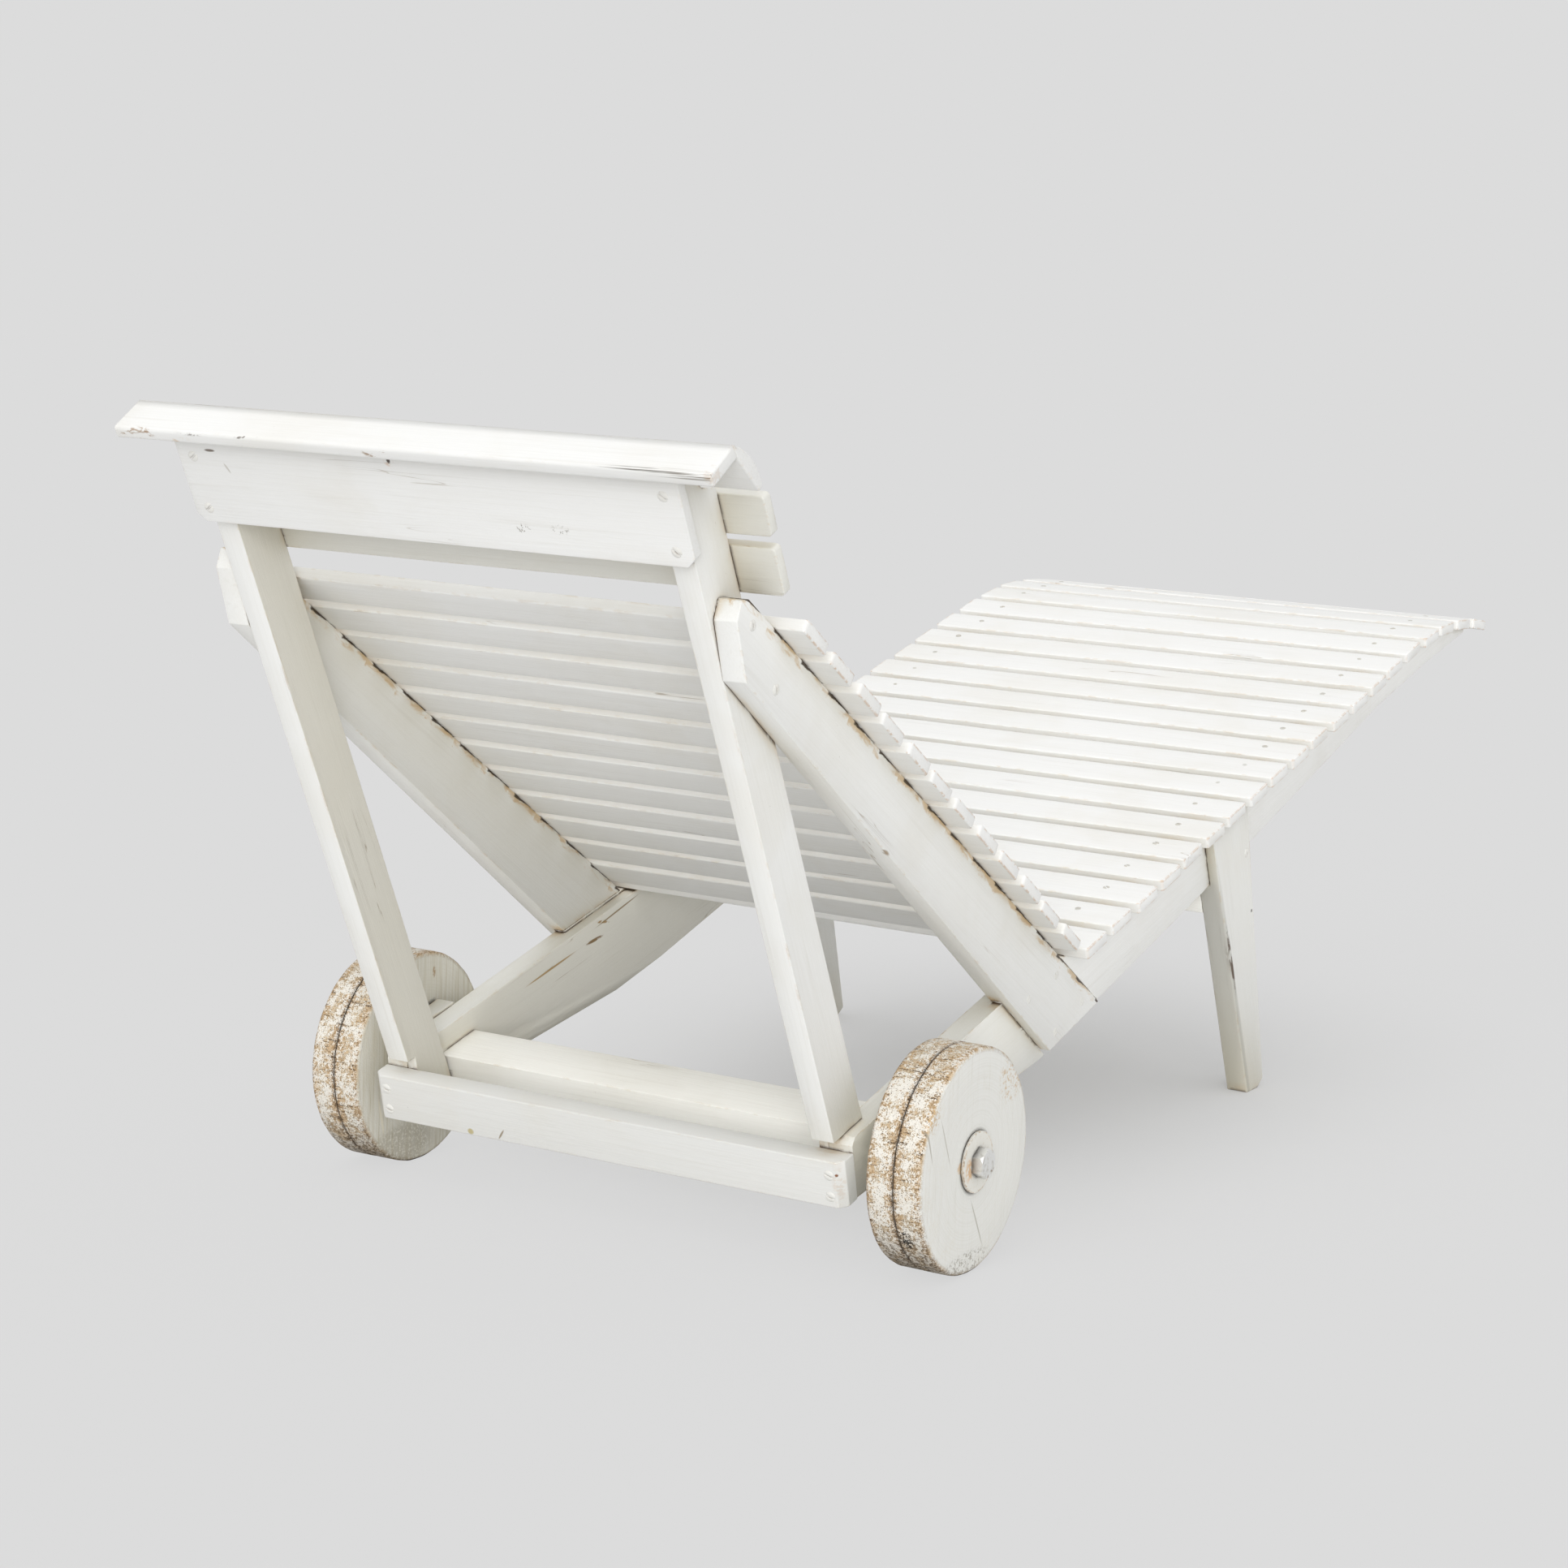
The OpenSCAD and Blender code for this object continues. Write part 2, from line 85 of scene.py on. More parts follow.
def turned(points, angle):
    """2-D points turned anticlockwise, Y towards Z: (y cos a - z sin a, y sin a + z cos a)."""
    c, s = math.cos(angle), math.sin(angle)
    y, z = points[..., 0], points[..., 1]
    return np.stack([y * c - z * s, y * s + z * c], -1)


def on_seat(points):
    """Points (y, lift) of the seat's frame in the part's frame: turned by the seat's tilt."""
    return turned(np.asarray(points, float), -SEAT_TILT) + CORNER


def on_back(points):
    """Points (run up the back, lift) in the part's frame: turned by the back's tilt."""
    return turned(np.asarray(points, float), BACK_TILT) + CORNER


def on_post(points):
    """Points (behind the post's rear face, up the post), turned by the post's lean."""
    return turned(np.asarray(points, float), -POST_LEAN) + [AXLE_Y + POST_BACK, 0.0]


def seat_place(s):
    """Top of the seat rail s beyond the corner, with its slope: a line, then an arc."""
    a = max(0.0, s - SEAT_RUN) / FOOT_R
    y = -s if a == 0 else -SEAT_RUN - FOOT_R * math.sin(a)
    z = 0.0 if a == 0 else FOOT_R * math.cos(a) - FOOT_R
    return (y, z), a


def from_axle(x, y, z):
    """A place measured from the wheels' axis along Y, in metres, in the part's frame."""
    return (x, y + AXLE_Y, z)


print("corner at", CORNER.round(4))

# %% [markdown]
# ## Colours, and the helpers that all the finishes share
# Colours are picked as they look on a screen, in sRGB, and the renderer adds up light in
# linear values, so each hex value is turned to linear once. One function adds a shader
# node. A finish is built up as the real one was, as coats over each other, and each coat
# shows only where all its conditions hold, such as "near an edge" and "where this noise
# is high".

# %% Colour, nodes and coats
FLAT = (0.0, 0.0, 0.0)


def colour(hex_code):
    """sRGB hex to linear RGBA: v/12.92 below 0.04045, else ((v + 0.055)/1.055)^2.4."""
    v = np.array([int(hex_code[i:i + 2], 16) / 255 for i in (1, 3, 5)])
    v = np.where(v <= 0.04045, v / 12.92, ((v + 0.055) / 1.055) ** 2.4)
    return (*v.tolist(), 1.0)


def fill(tree, node, sockets):
    """Gives each named socket of a node its value, or a link from an output."""
    for name, value in sockets.items():
        if isinstance(value, bpy.types.NodeSocket):
            tree.links.new(value, node.inputs[name])
        else:
            node.inputs[name].default_value = value


def add(tree, kind, sockets=None, output=0, **settings):
    """Adds a node with its settings and links, and gives one of its outputs."""
    node = tree.nodes.new("ShaderNode" + kind)
    for name, value in settings.items():
        setattr(node, name, value)
    fill(tree, node, sockets or {})
    return node.outputs[output] if len(node.outputs) else node


def empty_tree(block):
    """The node tree of a material or a world, with nothing in it."""
    block.use_nodes = True
    block.node_tree.nodes.clear()
    return block.node_tree


def new_material(name):
    """A material, its tree, and its Principled shader joined to the output."""
    material = bpy.data.materials.new(name)
    tree = empty_tree(material)
    surface = add(tree, "BsdfPrincipled")
    add(tree, "OutputMaterial", {"Surface": surface})
    return material, tree, surface.node


def where(tree, strength, *conditions):
    """Strength times, for each (value, low, high), a smooth step from low to high."""
    mask = strength
    for value, low, high in conditions:
        step = add(tree, "MapRange", {"Value": value, "From Min": low, "From Max": high},
                   interpolation_type="SMOOTHSTEP")
        mask = add(tree, "Math", {0: mask, 1: step}, operation="MULTIPLY")
    return mask


def coats(tree, base, layers):
    """The base colour with each (hex, strength, conditions) laid over it in turn."""
    skin = colour(base)
    for tint, strength, *conditions in layers:
        mask = where(tree, strength, *conditions)
        skin = add(tree, "Mix", {"Factor": mask, 6: skin, 7: colour(tint)}, 2, data_type="RGBA")
    return skin


def total(tree, parts):
    """The sum of values, each times its weight."""
    result = 0.0
    for value, weight in parts:
        result = add(tree, "Math", {0: value, 1: weight, 2: result}, operation="MULTIPLY_ADD")
    return result


def edge_and_joint(tree, radius, reach):
    """A value that falls near an arris, one that falls in a joint, and the true normal."""
    leaned = add(tree, "Bevel", {"Radius": radius}, samples=4)
    true = add(tree, "NewGeometry", output="Normal")
    edge = add(tree, "VectorMath", {0: leaned, 1: true}, "Value", operation="DOT_PRODUCT")
    joint = add(tree, "AmbientOcclusion", {"Distance": reach}, "AO", samples=4)
    return edge, joint, true


def spot(tree, place, centre, half, turn=FLAT):
    """Distance from a place, 0 at the centre of an ellipsoid and 1 on its skin."""
    inside = add(tree, "Mapping", {"Vector": place, "Location": centre, "Rotation": turn,
                                   "Scale": half}, vector_type="TEXTURE")
    return add(tree, "VectorMath", {0: inside}, "Value", operation="LENGTH")


def mark(centre, half, tint, strength, pattern="cloud", low=0.0, turn=FLAT):
    """A mark's centre from the axle and half sizes, in mm, its tint, and its pattern."""
    centre, half = (tuple(v / 1000 for v in sizes) for sizes in (centre, half))
    return from_axle(*centre), half, turn, tint, strength, pattern, low


def marked(tree, place, drawn, marks):
    """Coats for marks: an ellipsoid each, filled where its pattern lies above low."""
    layers = []
    for centre, half, turn, tint, strength, pattern, low in marks:
        inside = (spot(tree, place, centre, half, turn), 1.0, 0.55)
        layers.append((tint, strength, inside, (drawn[pattern], low, low + 0.1)))
    return layers


# %% [markdown]
# ## Old white oil paint on softwood
# The paint went on with a stiff brush, along each board. So it keeps fine ridges along
# the grain, and the grain itself shows through as shallow furrows. The undersides and inner
# faces are painted darker and warmer: this is painted shade, and it also stands for linseed
# oil yellowing where no daylight comes. The film has worn through to yellow wood at the
# arrises, and brown dirt fills the joints, with an ochre stain around it. Long hairline
# cracks follow the grain. Along a back rail's top edge, a dark wedge under each slat is a
# painted shadow of the gap between slat and rail.
#
# Every pattern is drawn on Object coordinates, turned so that one axis runs along the
# board. The numbers in GRAIN are marks per metre along and across the board: brush ridges
# are 1.5 mm apart and drawn out to 80 mm, the furrows are 5.6 mm apart. The arrises are
# found with a Bevel node, whose normal leans away from the true one near an edge. Three
# Ambient Occlusion nodes find joints, the 16 mm around them, and the hidden side.

# %% Painted wood
GRAIN = {
    "ridges": (12, 650, 2, 0.60), "furrows": (4, 180, 3, 0.65), "patches": (22, 80, 4, 0.65),
    "cracks": (2.6, 90, 2, 0.50), "places": (5, 14, 2, 0.50), "cloud": (8, 9, 3, 0.60),
    "specks": (420, 420, 2, 0.70), "chips": (55, 150, 3, 0.70)}
OIL_PAINT_IOR = 1.48
PAINT, SHADE_AND_YELLOWING, STAIN, WOOD, DIRT = "#f0f0ed", "#d0cab7", "#c9ab7b", "#b08a55", "#54402b"


def gap_shadow_and_stain(tree, place, drawn, strength):
    """Coats on a back rail: under each slat a dark wedge, with an ochre halo around it.

    The run along the rail, modulo the slats' pitch, says how far up a slat the point lies.
    The dark wedge is painted shadow of the narrow gap between each slat and the rail. It
    thins from about 3 mm under a slat's upper edge to nothing at its lower one.
    """
    local = add(tree, "Mapping", {"Vector": place, "Location": (0.0, *CORNER),
                                  "Rotation": (BACK_TILT, 0.0, 0.0)}, vector_type="TEXTURE")
    run, lift = (add(tree, "SeparateXYZ", {0: local}, axis) for axis in "YZ")
    start = add(tree, "Math", {0: run, 1: FIRST_BACK_SLAT}, operation="SUBTRACT")
    step = add(tree, "Math", {0: start, 1: BACK_PITCH}, operation="FLOORED_MODULO")
    wedge = total(tree, [(step, 0.085), (lift, 1.0), (drawn["chips"], 0.006), (-0.0032, 1.0)])
    halo = total(tree, [(lift, 1.0), (step, 0.06), (drawn["chips"], 0.020), (-0.0040, 1.0)])
    return [(STAIN, 0.75 * strength, (halo, 0.0, 0.005), (drawn["patches"], 0.40, 0.56)),
            # painted shadow: the dark wedge in the gap under each slat
            ("#3a2a1a", 0.95 * strength, (wedge, 0.0, 0.0008), (step, 0.0440, 0.0410))]


def painted_wood(name, along=None, seed=0.0, wear=1.0, dirt=1.0, stain=0.55, hidden_shade=0.6, inner=0.0,
                 end_x=9.0, base=PAINT, marks=(), gap_shade=0.0):
    """White paint on a board that lies along X, or at the angle along in the YZ plane.

    Wear is how far arrises are rubbed, and dirt fills joints with a stain around it. The
    hidden-side strength is painted shade: darker, warmer paint on what is hidden, which also
    stands for oil paint yellowing out of daylight. Inner is painted shade on the faces that
    look towards the middle of the chair. end_x is where a slat's ends begin to chip (nowhere,
    unless it is given), and the last strength is how dark the painted shadow of the gap
    under each slat is, along the top edge of a back rail.
    """
    material, tree, shader = new_material(name)
    place = add(tree, "TexCoord", output="Object")
    lined = add(tree, "Mapping", {"Vector": place, "Rotation": (-(along or 0.0), 0.0, 0.0),
                                  "Location": (seed, 1.7 * seed, 0.6 * seed)})
    drawn = {}
    for pattern, (lengthwise, across, detail, gain) in GRAIN.items():
        scale = [across, across, across]
        scale[0 if along is None else 1] = lengthwise
        squeezed = add(tree, "Mapping", {"Vector": lined, "Scale": scale})
        drawn[pattern] = add(tree, "TexNoise", {"Vector": squeezed, "Scale": 1.0, "Detail": detail,
                                                "Roughness": gain, "Distortion": 0.4})
    edge, joint, true = edge_and_joint(tree, 0.0035, 0.005)
    beside = add(tree, "AmbientOcclusion", {"Distance": 0.016}, "AO", samples=4)
    # how hidden a point is: where it is low, the painted shade goes
    hidden = add(tree, "AmbientOcclusion", {"Distance": 0.22}, "AO", samples=4)

    off_centre = add(tree, "Math", {0: drawn["cracks"], 1: 0.5}, operation="SUBTRACT")
    off_line = add(tree, "Math", {0: off_centre}, operation="ABSOLUTE")
    hair = where(tree, 0.55, (off_line, 0.0045, 0.0010), (drawn["places"], 0.61, 0.69))
    side = add(tree, "SeparateXYZ", {0: place}, "X")
    outward = add(tree, "Math", {0: side}, operation="ABSOLUTE")
    leaning = add(tree, "SeparateXYZ", {0: true}, "X")
    # faces that look towards the middle of the chair, which get painted shade below
    inward = add(tree, "Math", {0: side, 1: leaning}, operation="MULTIPLY")
    worn = where(tree, wear, (edge, 0.990, 0.86), (drawn["patches"], 0.58, 0.68))
    rubbed = where(tree, 0.5 * wear, (edge, 0.997, 0.93), (drawn["chips"], 0.52, 0.64))
    chipped = where(tree, 0.85, (outward, end_x, end_x + 0.001), (edge, 0.99, 0.90),
                    (drawn["chips"], 0.46, 0.52))
    layers = [
        # painted shade: hidden places, and faces that look towards the middle, get darker, warmer
        # paint
        (SHADE_AND_YELLOWING, hidden_shade, (hidden, 0.80, 0.30)),
        (SHADE_AND_YELLOWING, inner, (inward, -0.10, -0.17)),
        ("#dcd6c6", 0.18, (drawn["cloud"], 0.45, 0.70)),
        ("#c9c4b6", 0.08, (drawn["ridges"], 0.40, 0.75)),
        ("#b5ad99", 0.10, (drawn["furrows"], 0.58, 0.76)),
        (STAIN, stain, (beside, 0.74, 0.36), (drawn["patches"], 0.38, 0.58)),
        (DIRT, dirt, (joint, 0.68, 0.40), (drawn["patches"], 0.40, 0.50)),
        (STAIN, rubbed),
        (WOOD, worn),
        ("#bb8a4e", chipped),
        (DIRT, 0.45, (worn, 0.45, 0.90), (drawn["chips"], 0.50, 0.62)),
        ("#8a7049", hair),
        ("#8a7a60", 0.65, (drawn["specks"], 0.73, 0.79), (drawn["cloud"], 0.50, 0.66))]
    layers += marked(tree, place, drawn, marks)
    # painted shadow of the gaps under the back slats, with their ochre stain
    if gap_shade:
        layers += gap_shadow_and_stain(tree, place, drawn, gap_shade)
    rough = total(tree, [(drawn["ridges"], 0.25), (worn, 0.25), (0.34, 1.0)])
    # height in millimetres: ridges and furrows, and what has worn or cracked lies lower
    height = total(tree, [(drawn["ridges"], 0.20), (drawn["furrows"], 0.34), (drawn["chips"], 0.30),
                          (worn, -0.18), (rubbed, -0.06), (hair, -0.5)])
    bump = add(tree, "Bump", {"Height": height, "Distance": 0.001, "Strength": 0.75})
    fill(tree, shader, {"Base Color": coats(tree, base, layers), "Roughness": rough,
                        "IOR": OIL_PAINT_IOR, "Normal": bump})
    return material


# %% [markdown]
# ## Marks that one board has and the others don't
# The photograph shows a few marks big enough to know the chair by: a black scuff along the
# cap's lower edge, knots, cracks on a wheel beam, and ochre flecks. Each is an ellipsoid in
# the part's frame, filled with one of the board's own patterns. The lists give its centre
# from the wheels' axis and its half sizes in millimetres, its tint and strength, its pattern
# with the value from which it shows, and its turn. A mark that names no pattern is whole.
# Two kinds are painted shade, not marks on the wood: a grey band of the seat's shadow on the
# legs' rear faces, and the dark hollow under the cap on the board behind the posts.

# %% Paints for each kind of board
def tilt(degrees):
    """A turn about X."""
    return math.radians(degrees), 0.0, 0.0


CAP_PITCH, SEAT_LINE, LEG_LINE = tilt(-33), (-SEAT_TILT, 0.0, 0.0), (-0.43, 0.0, 0.0)
cap_marks = [
    mark((-240, 413.5, 704.5), (68, 8, 7), "#4a443b", 0.80, "ridges", 0.50, CAP_PITCH),
    mark((-272, 413, 704.8), (34, 6, 8), "#6e6558", 0.80, "ridges", 0.47, CAP_PITCH),
    mark((264, 410, 702.5), (24, 5, 8), "#8f6630", 0.80, "chips", 0.52, CAP_PITCH),
    mark((205, 412.5, 705), (30, 3, 4), "#4a3c2c", 0.90, "chips", 0.50, CAP_PITCH),
    mark((143, 411.5, 705.5), (36, 2.8, 4), "#4a3c2c", 0.85, "chips", 0.52, CAP_PITCH),
    mark((217, 407, 697.5), (11, 6, 6), "#c39a5e", 0.55, "chips", 0.52, CAP_PITCH),
    mark((22, 409, 701), (16, 8, 5), "#8b6a3d", 0.80, "chips", 0.52, CAP_PITCH),
    mark((-284, 405, 706), (6, 15, 12), "#b98f57", 0.22, "chips", 0.46)]
head_board_marks_and_shade = [
    mark((25.6, 386.8, 694.6), (2.2, 4, 3.5), "#3a2716", 0.95),
    mark((25.6, 386.8, 694.6), (6, 6, 7), "#c08c4c", 0.50, "chips", 0.45),
    mark((193.9, 377.8, 676.3), (1.2, 4, 7), "#a79f90", 0.50, turn=(0, 0.5, 0)),
    mark((-88.8, 364.3, 648.5), (8, 6, 5), "#8b867c", 0.85, "specks", 0.52),
    mark((-123.3, 365, 650), (10, 6, 5), "#98938a", 0.80, "specks", 0.54),
    # painted shade: the dark hollow between the cap and the board's top edge
    mark((207, 384.6, 690.2), (6.5, 6, 1.4), "#5a4630", 0.85)]
rear_rail_marks = [
    mark((142.5, 93, 68.7), (4, 6, 3.5), "#b5a24e", 0.70),
    mark((108.5, 94, 71.6), (1.2, 6, 7.5), "#8d7a5c", 0.80, turn=(0, -0.6, 0)),
    mark((-239.8, 99.9, 96), (1.6, 6, 1.6), "#7b431c", 0.95),
    mark((-241, 96, 85), (7, 10, 25), "#b98d55", 0.20, "chips", 0.46)]
beam_marks = [
    mark((222, -147, 165), (3, 50, 1.4), "#a98a50", 0.90, turn=tilt(-13.7)),
    mark((222, -222, 181), (3, 18, 2.2), "#7d5f2f", 0.95, "chips", 0.42, tilt(-9)),
    mark((222, -240, 197), (3, 20, 2.2), "#9c7a40", 0.90, "chips", 0.44, tilt(5)),
    mark((222, -262, 204), (3, 46, 1.2), "#8a7247", 0.85, turn=tilt(-16)),
    mark((-245, -20, 155), (4, 80, 20), "#c7ab7c", 0.25, "patches", 0.50, SEAT_LINE)]
back_marks = [
    mark((-256, 66.6, 370), (6, 10, 4), "#8f7552", 0.75, "chips", 0.42, (0.3, 0, 0)),
    mark((-256, 63, 366), (6, 6, 1.6), "#4b3a28", 0.90),
    mark((-256, -286, 226), (8, 15, 5), "#b98544", 0.85, "chips", 0.44, (0.2, 0, 0)),
    mark((-256, -293, 217), (6, 14, 2.2), "#8f8468", 0.70, turn=(0.9, 0, 0)),
    mark((-256, -250, 247), (8, 16, 3), "#33261a", 0.85, "patches", 0.30, (0.6, 0, 0)),
    mark((-256, -37, 427), (4, 70, 3), "#cdb791", 0.45, "patches", 0.46, (BACK_TILT, 0, 0))]
leg_marks_and_shadow = [
    # painted shadow: a grey band on each leg's rear face, for the seat's shadow there
    *(mark((x, -686, 105), (30, 7.5, 270), "#a3a093", 0.50, turn=LEG_LINE)
      for x in (-250, 250)),
    mark((-267, -712.5, 197.9), (4, 2.2, 2.2), "#3d3126", 0.90),
    mark((-265, -666, 153), (6, 4, 52), "#4f3820", 0.95, "chips", 0.42, LEG_LINE)]

paint_across = painted_wood("oil_paint_on_slats", wear=0.8, stain=0.22, hidden_shade=0.35, end_x=0.2795,
                            base="#efefed")
# painted shade: the slats under the cap get a darker, warmer base for the shade they lie in
paint_head_slats = painted_wood("oil_paint_on_head_slats", seed=8.8, stain=0.3, hidden_shade=0.85,
                                base="#e4e3dc")
paint_cap = painted_wood("oil_paint_on_cap", seed=1.3, wear=0.5, dirt=0.15, stain=0.25, hidden_shade=0.5,
                         base="#ebebe9", marks=cap_marks)
paint_head_board = painted_wood("oil_paint_on_head_board", seed=2.2, wear=0.5, hidden_shade=0.1,
                                base="#eeeeec", marks=head_board_marks_and_shade)
# painted light: the axle beam and front rail get a brighter base and less stain, for the light on
# the beam's rear face
paint_rails = painted_wood("oil_paint_on_cross_rails", seed=4.6, wear=0.6, dirt=0.6,
                           stain=0.1, hidden_shade=0.0, base="#fefdf7")
# painted shade: the rear rail gets a darker base, for the shade along it
paint_rear_rail = painted_wood("oil_paint_on_rear_rail", seed=2.9, wear=0.6, hidden_shade=0.1,
                               base="#e4e4e1", marks=rear_rail_marks)
paint_seat = painted_wood("oil_paint_on_seat_rails", -SEAT_TILT, seed=3.1, base="#f9f9f6")
paint_beam = painted_wood("oil_paint_on_beams", -SEAT_TILT, seed=6.4, inner=0.35, base="#ecece7",
                          marks=beam_marks)
paint_back = painted_wood("oil_paint_on_back_rails", BACK_TILT, seed=5.3, wear=0.8,
                          stain=0.9, inner=0.15, gap_shade=1.0, marks=back_marks)
paint_post = painted_wood("oil_paint_on_posts", math.pi / 2 - POST_LEAN, seed=7.7, wear=0.6,
                          inner=0.55)
# painted shade: the legs get a darker base and the full hidden-side shade, for the seat's shade
# over them
paint_leg = painted_wood("oil_paint_on_legs", math.radians(69), seed=9.2, wear=1.2,
                         hidden_shade=1.0, base="#e7e7e3", marks=leg_marks_and_shadow)
print("paints:", sum(m.name.startswith("oil_paint") for m in bpy.data.materials))

# %% [markdown]
# ## Boards with eased edges
# The solids have sharp arrises. On the real chair these were eased with a few strokes of
# sandpaper and have worn since. So each board is copied, its loose triangles are merged
# back into flat faces, and a Bevel modifier rounds every arris by 1 to 1.3 mm.

# %% Eased boards
def placed(name, data):
    """A new object in the scene."""
    item = bpy.data.objects.new(name, data)
    bpy.context.scene.collection.objects.link(item)
    return item


def eased(node, material, width=0.0010):
    """A merged copy of a solid with its arrises rounded, standing for the solid."""
    source = frame["nodes"][node]
    mesh = bpy.data.meshes.new(node + "_eased")
    work = bmesh.new()
    work.from_mesh(source.data)
    bmesh.ops.remove_doubles(work, verts=work.verts, dist=1e-5)
    bmesh.ops.dissolve_limit(work, angle_limit=math.radians(1), verts=work.verts,
                             edges=work.edges)
    for face in work.faces:
        face.smooth = True
    work.to_mesh(mesh)
    work.free()
    mesh.materials.clear()
    mesh.materials.append(material)
    board = placed(node + "_eased", mesh)
    arris = board.modifiers.new("arris", "BEVEL")
    arris.width, arris.segments, arris.limit_method = width, 2, "ANGLE"
    arris.angle_limit = math.radians(25)
    arris.harden_normals = True
    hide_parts(node)
    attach(board, source["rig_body"])


for side in ("right", "left"):
    eased("seat_rail_" + side, paint_seat)
    eased("wheel_beam_" + side, paint_beam, 0.0013)
    eased("back_rail_" + side, paint_back)
    eased("headrest_post_" + side, paint_post)
    eased("front_leg_" + side, paint_leg, 0.0013)
    eased("axle_block_" + side, paint_beam)
for node, paint in (("rear_cross_rail", paint_rear_rail), ("axle_beam", paint_rails),
                    ("front_cross_rail", paint_rails)):
    eased(node, paint, 0.0013)
eased("headrest_board", paint_head_board)

# %% [markdown]
# ## Skins over a grid of points
# A slat, a cap board, a wheel disc and a screw's head are all skins over a grid: one
# index goes around a section, the other along the piece. One function makes the mesh, with
# a face at each end, or with the last section joined to the first one where the piece is a
# ring. The sign of the volume inside says whether the faces point outwards, and if they
# don't, it turns them.

# %% A closed skin
def new_mesh(name, points, faces, material):
    """A mesh shaded smooth, with its material."""
    mesh = bpy.data.meshes.new(name)
    mesh.from_pydata(points, [], faces)
    mesh.polygons.foreach_set("use_smooth", np.ones(len(faces), bool))
    mesh.materials.append(material)
    return mesh


def skin(name, grids, material, body, node=None, ring=False):
    """Closed skins over grids[i][along, around], as one piece that rides on a body."""
    points, faces, start = [], [], 0
    for grid in grids:
        n, m = grid.shape[:2]
        i, j = np.meshgrid(np.arange(n if ring else n - 1), np.arange(m), indexing="ij")
        k, up = (j + 1) % m, (i + 1) % n
        quads = np.stack([i * m + j, i * m + k, up * m + k, up * m + j], -1).reshape(-1, 4)
        flat = grid.reshape(-1, 3)
        a, b, c, d = (flat[quads[:, q]] - flat.mean(0) for q in range(4))
        signed = np.einsum("ij,ij->", np.cross(a, b), c) + np.einsum("ij,ij->", np.cross(a, c), d)
        caps = [] if ring else [list(range(m))[::-1], list(range((n - 1) * m, n * m))]
        if signed < 0:
            quads = quads[:, ::-1]
            caps = [cap[::-1] for cap in caps]
        faces += (quads + start).tolist() + [[v + start for v in cap] for cap in caps]
        points.append(flat)
        start += n * m
    item = placed(name, new_mesh(name, np.concatenate(points).tolist(), faces, material))
    if node:
        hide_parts(node)
    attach(item, body)
    return item


# %% [markdown]
# ## Slats
# A slat is a planed strip. Its section is a rectangle with four rounded arrises, carried
# along X. The rounding grows and shrinks along the strip, the strip bows and twists by a
# fraction of a millimetre, and its plan corners are rounded as a rasp leaves them. The
# strips were sawn by eye, so each ends up to 3 mm short.

# %% A slat as a carried section
# how far a slat's rounding, lift, twist (in radians) and bow wander along its length
SLAT_WAVES = {"round": 0.0003, "lift": 0.00025, "twist": 0.006, "bow": 0.0001}
SAWN_SHORT, SLAT_ROUND = 0.003, 0.0012


def slat_points(length, width, thick, corner, rng):
    """Grid of points: station u along X times section point v around the strip.

    Section: four quarter circles of radius r(u) about centres r(u) in from the corners,
    and points along the two flat faces. Near an end the half width shrinks as the corner
    circle does, corner - sqrt(corner^2 - (corner - d)^2) at d from the end, and the
    thickness shrinks in the last 0.6 mm.
    """
    # stations from each end, closest together where the corners are round
    near = np.array([0.0, 0.0004, 0.001, 0.002, 0.0035, 0.006, 0.009])
    x0, x1 = -length / 2 + SAWN_SHORT * rng.random(), length / 2 - SAWN_SHORT * rng.random()
    x = np.concatenate([x0 + near, np.linspace(x0 + 0.016, x1 - 0.016, 36), (x1 - near)[::-1]])
    d = np.minimum(x - x0, x1 - x)
    inset = np.where(d < corner, corner - np.sqrt(np.maximum(corner**2 - (corner - d)**2, 0)), 0)
    flat = 0.0005 * np.clip(1 - d / 0.0006, 0, 1) ** 2
    waves = {name: sum(size / k * np.sin(7 * k * x + rng.uniform(0, 6.3)) for k in range(1, 5))
             for name, size in SLAT_WAVES.items()}
    r = np.clip(SLAT_ROUND + waves["round"] + 0.0005 * rng.random(len(x)), 0.0006, thick * 0.45)
    turns = np.linspace(0, math.pi / 2, 5)
    ring = []
    for k, (sy, sz) in enumerate(((1, 1), (0, 1), (0, 0), (1, 0))):
        angle = turns + k * math.pi / 2
        cy = np.where(sy, width - r, r) + np.where(sy, -inset, inset)
        cz = np.where(sz, thick - r, r) + np.where(sz, -flat, flat)
        ring.append(np.stack([cy[:, None] + r[:, None] * np.cos(angle),
                              cz[:, None] + r[:, None] * np.sin(angle)], -1))
        if k in (0, 2):
            y0, y1 = (width, 0) if k == 0 else (0, width)
            ys = y0 + (y1 - y0) * (0.12 + 0.76 * np.linspace(0, 1, 5)[1:-1])
            ys = np.broadcast_to(ys, (len(x), 3))
            zs = (thick - flat if k == 0 else flat)[:, None] + 0 * ys
            ring.append(np.stack([ys, zs], -1))
    mid = np.concatenate(ring, 1) - [width / 2, thick / 2]
    c, s = np.cos(waves["twist"])[:, None], np.sin(waves["twist"])[:, None]
    section = np.stack([mid[..., 0] * c - mid[..., 1] * s + waves["bow"][:, None],
                        mid[..., 0] * s + mid[..., 1] * c + waves["lift"][:, None]], -1)
    section += [width / 2, thick / 2]
    xs = np.broadcast_to(x[:, None, None], section.shape[:2] + (1,))
    return np.concatenate([xs, section], -1)


def slat(node, place, size, seed, paint=paint_across):
    """A slat put in the part's frame by place, which takes its (y, z) points."""
    grid = slat_points(*size, np.random.default_rng(seed))
    grid[..., 1:] = place(grid[..., 1:])
    skin(node + "_strip", [grid], paint, "frame", node)


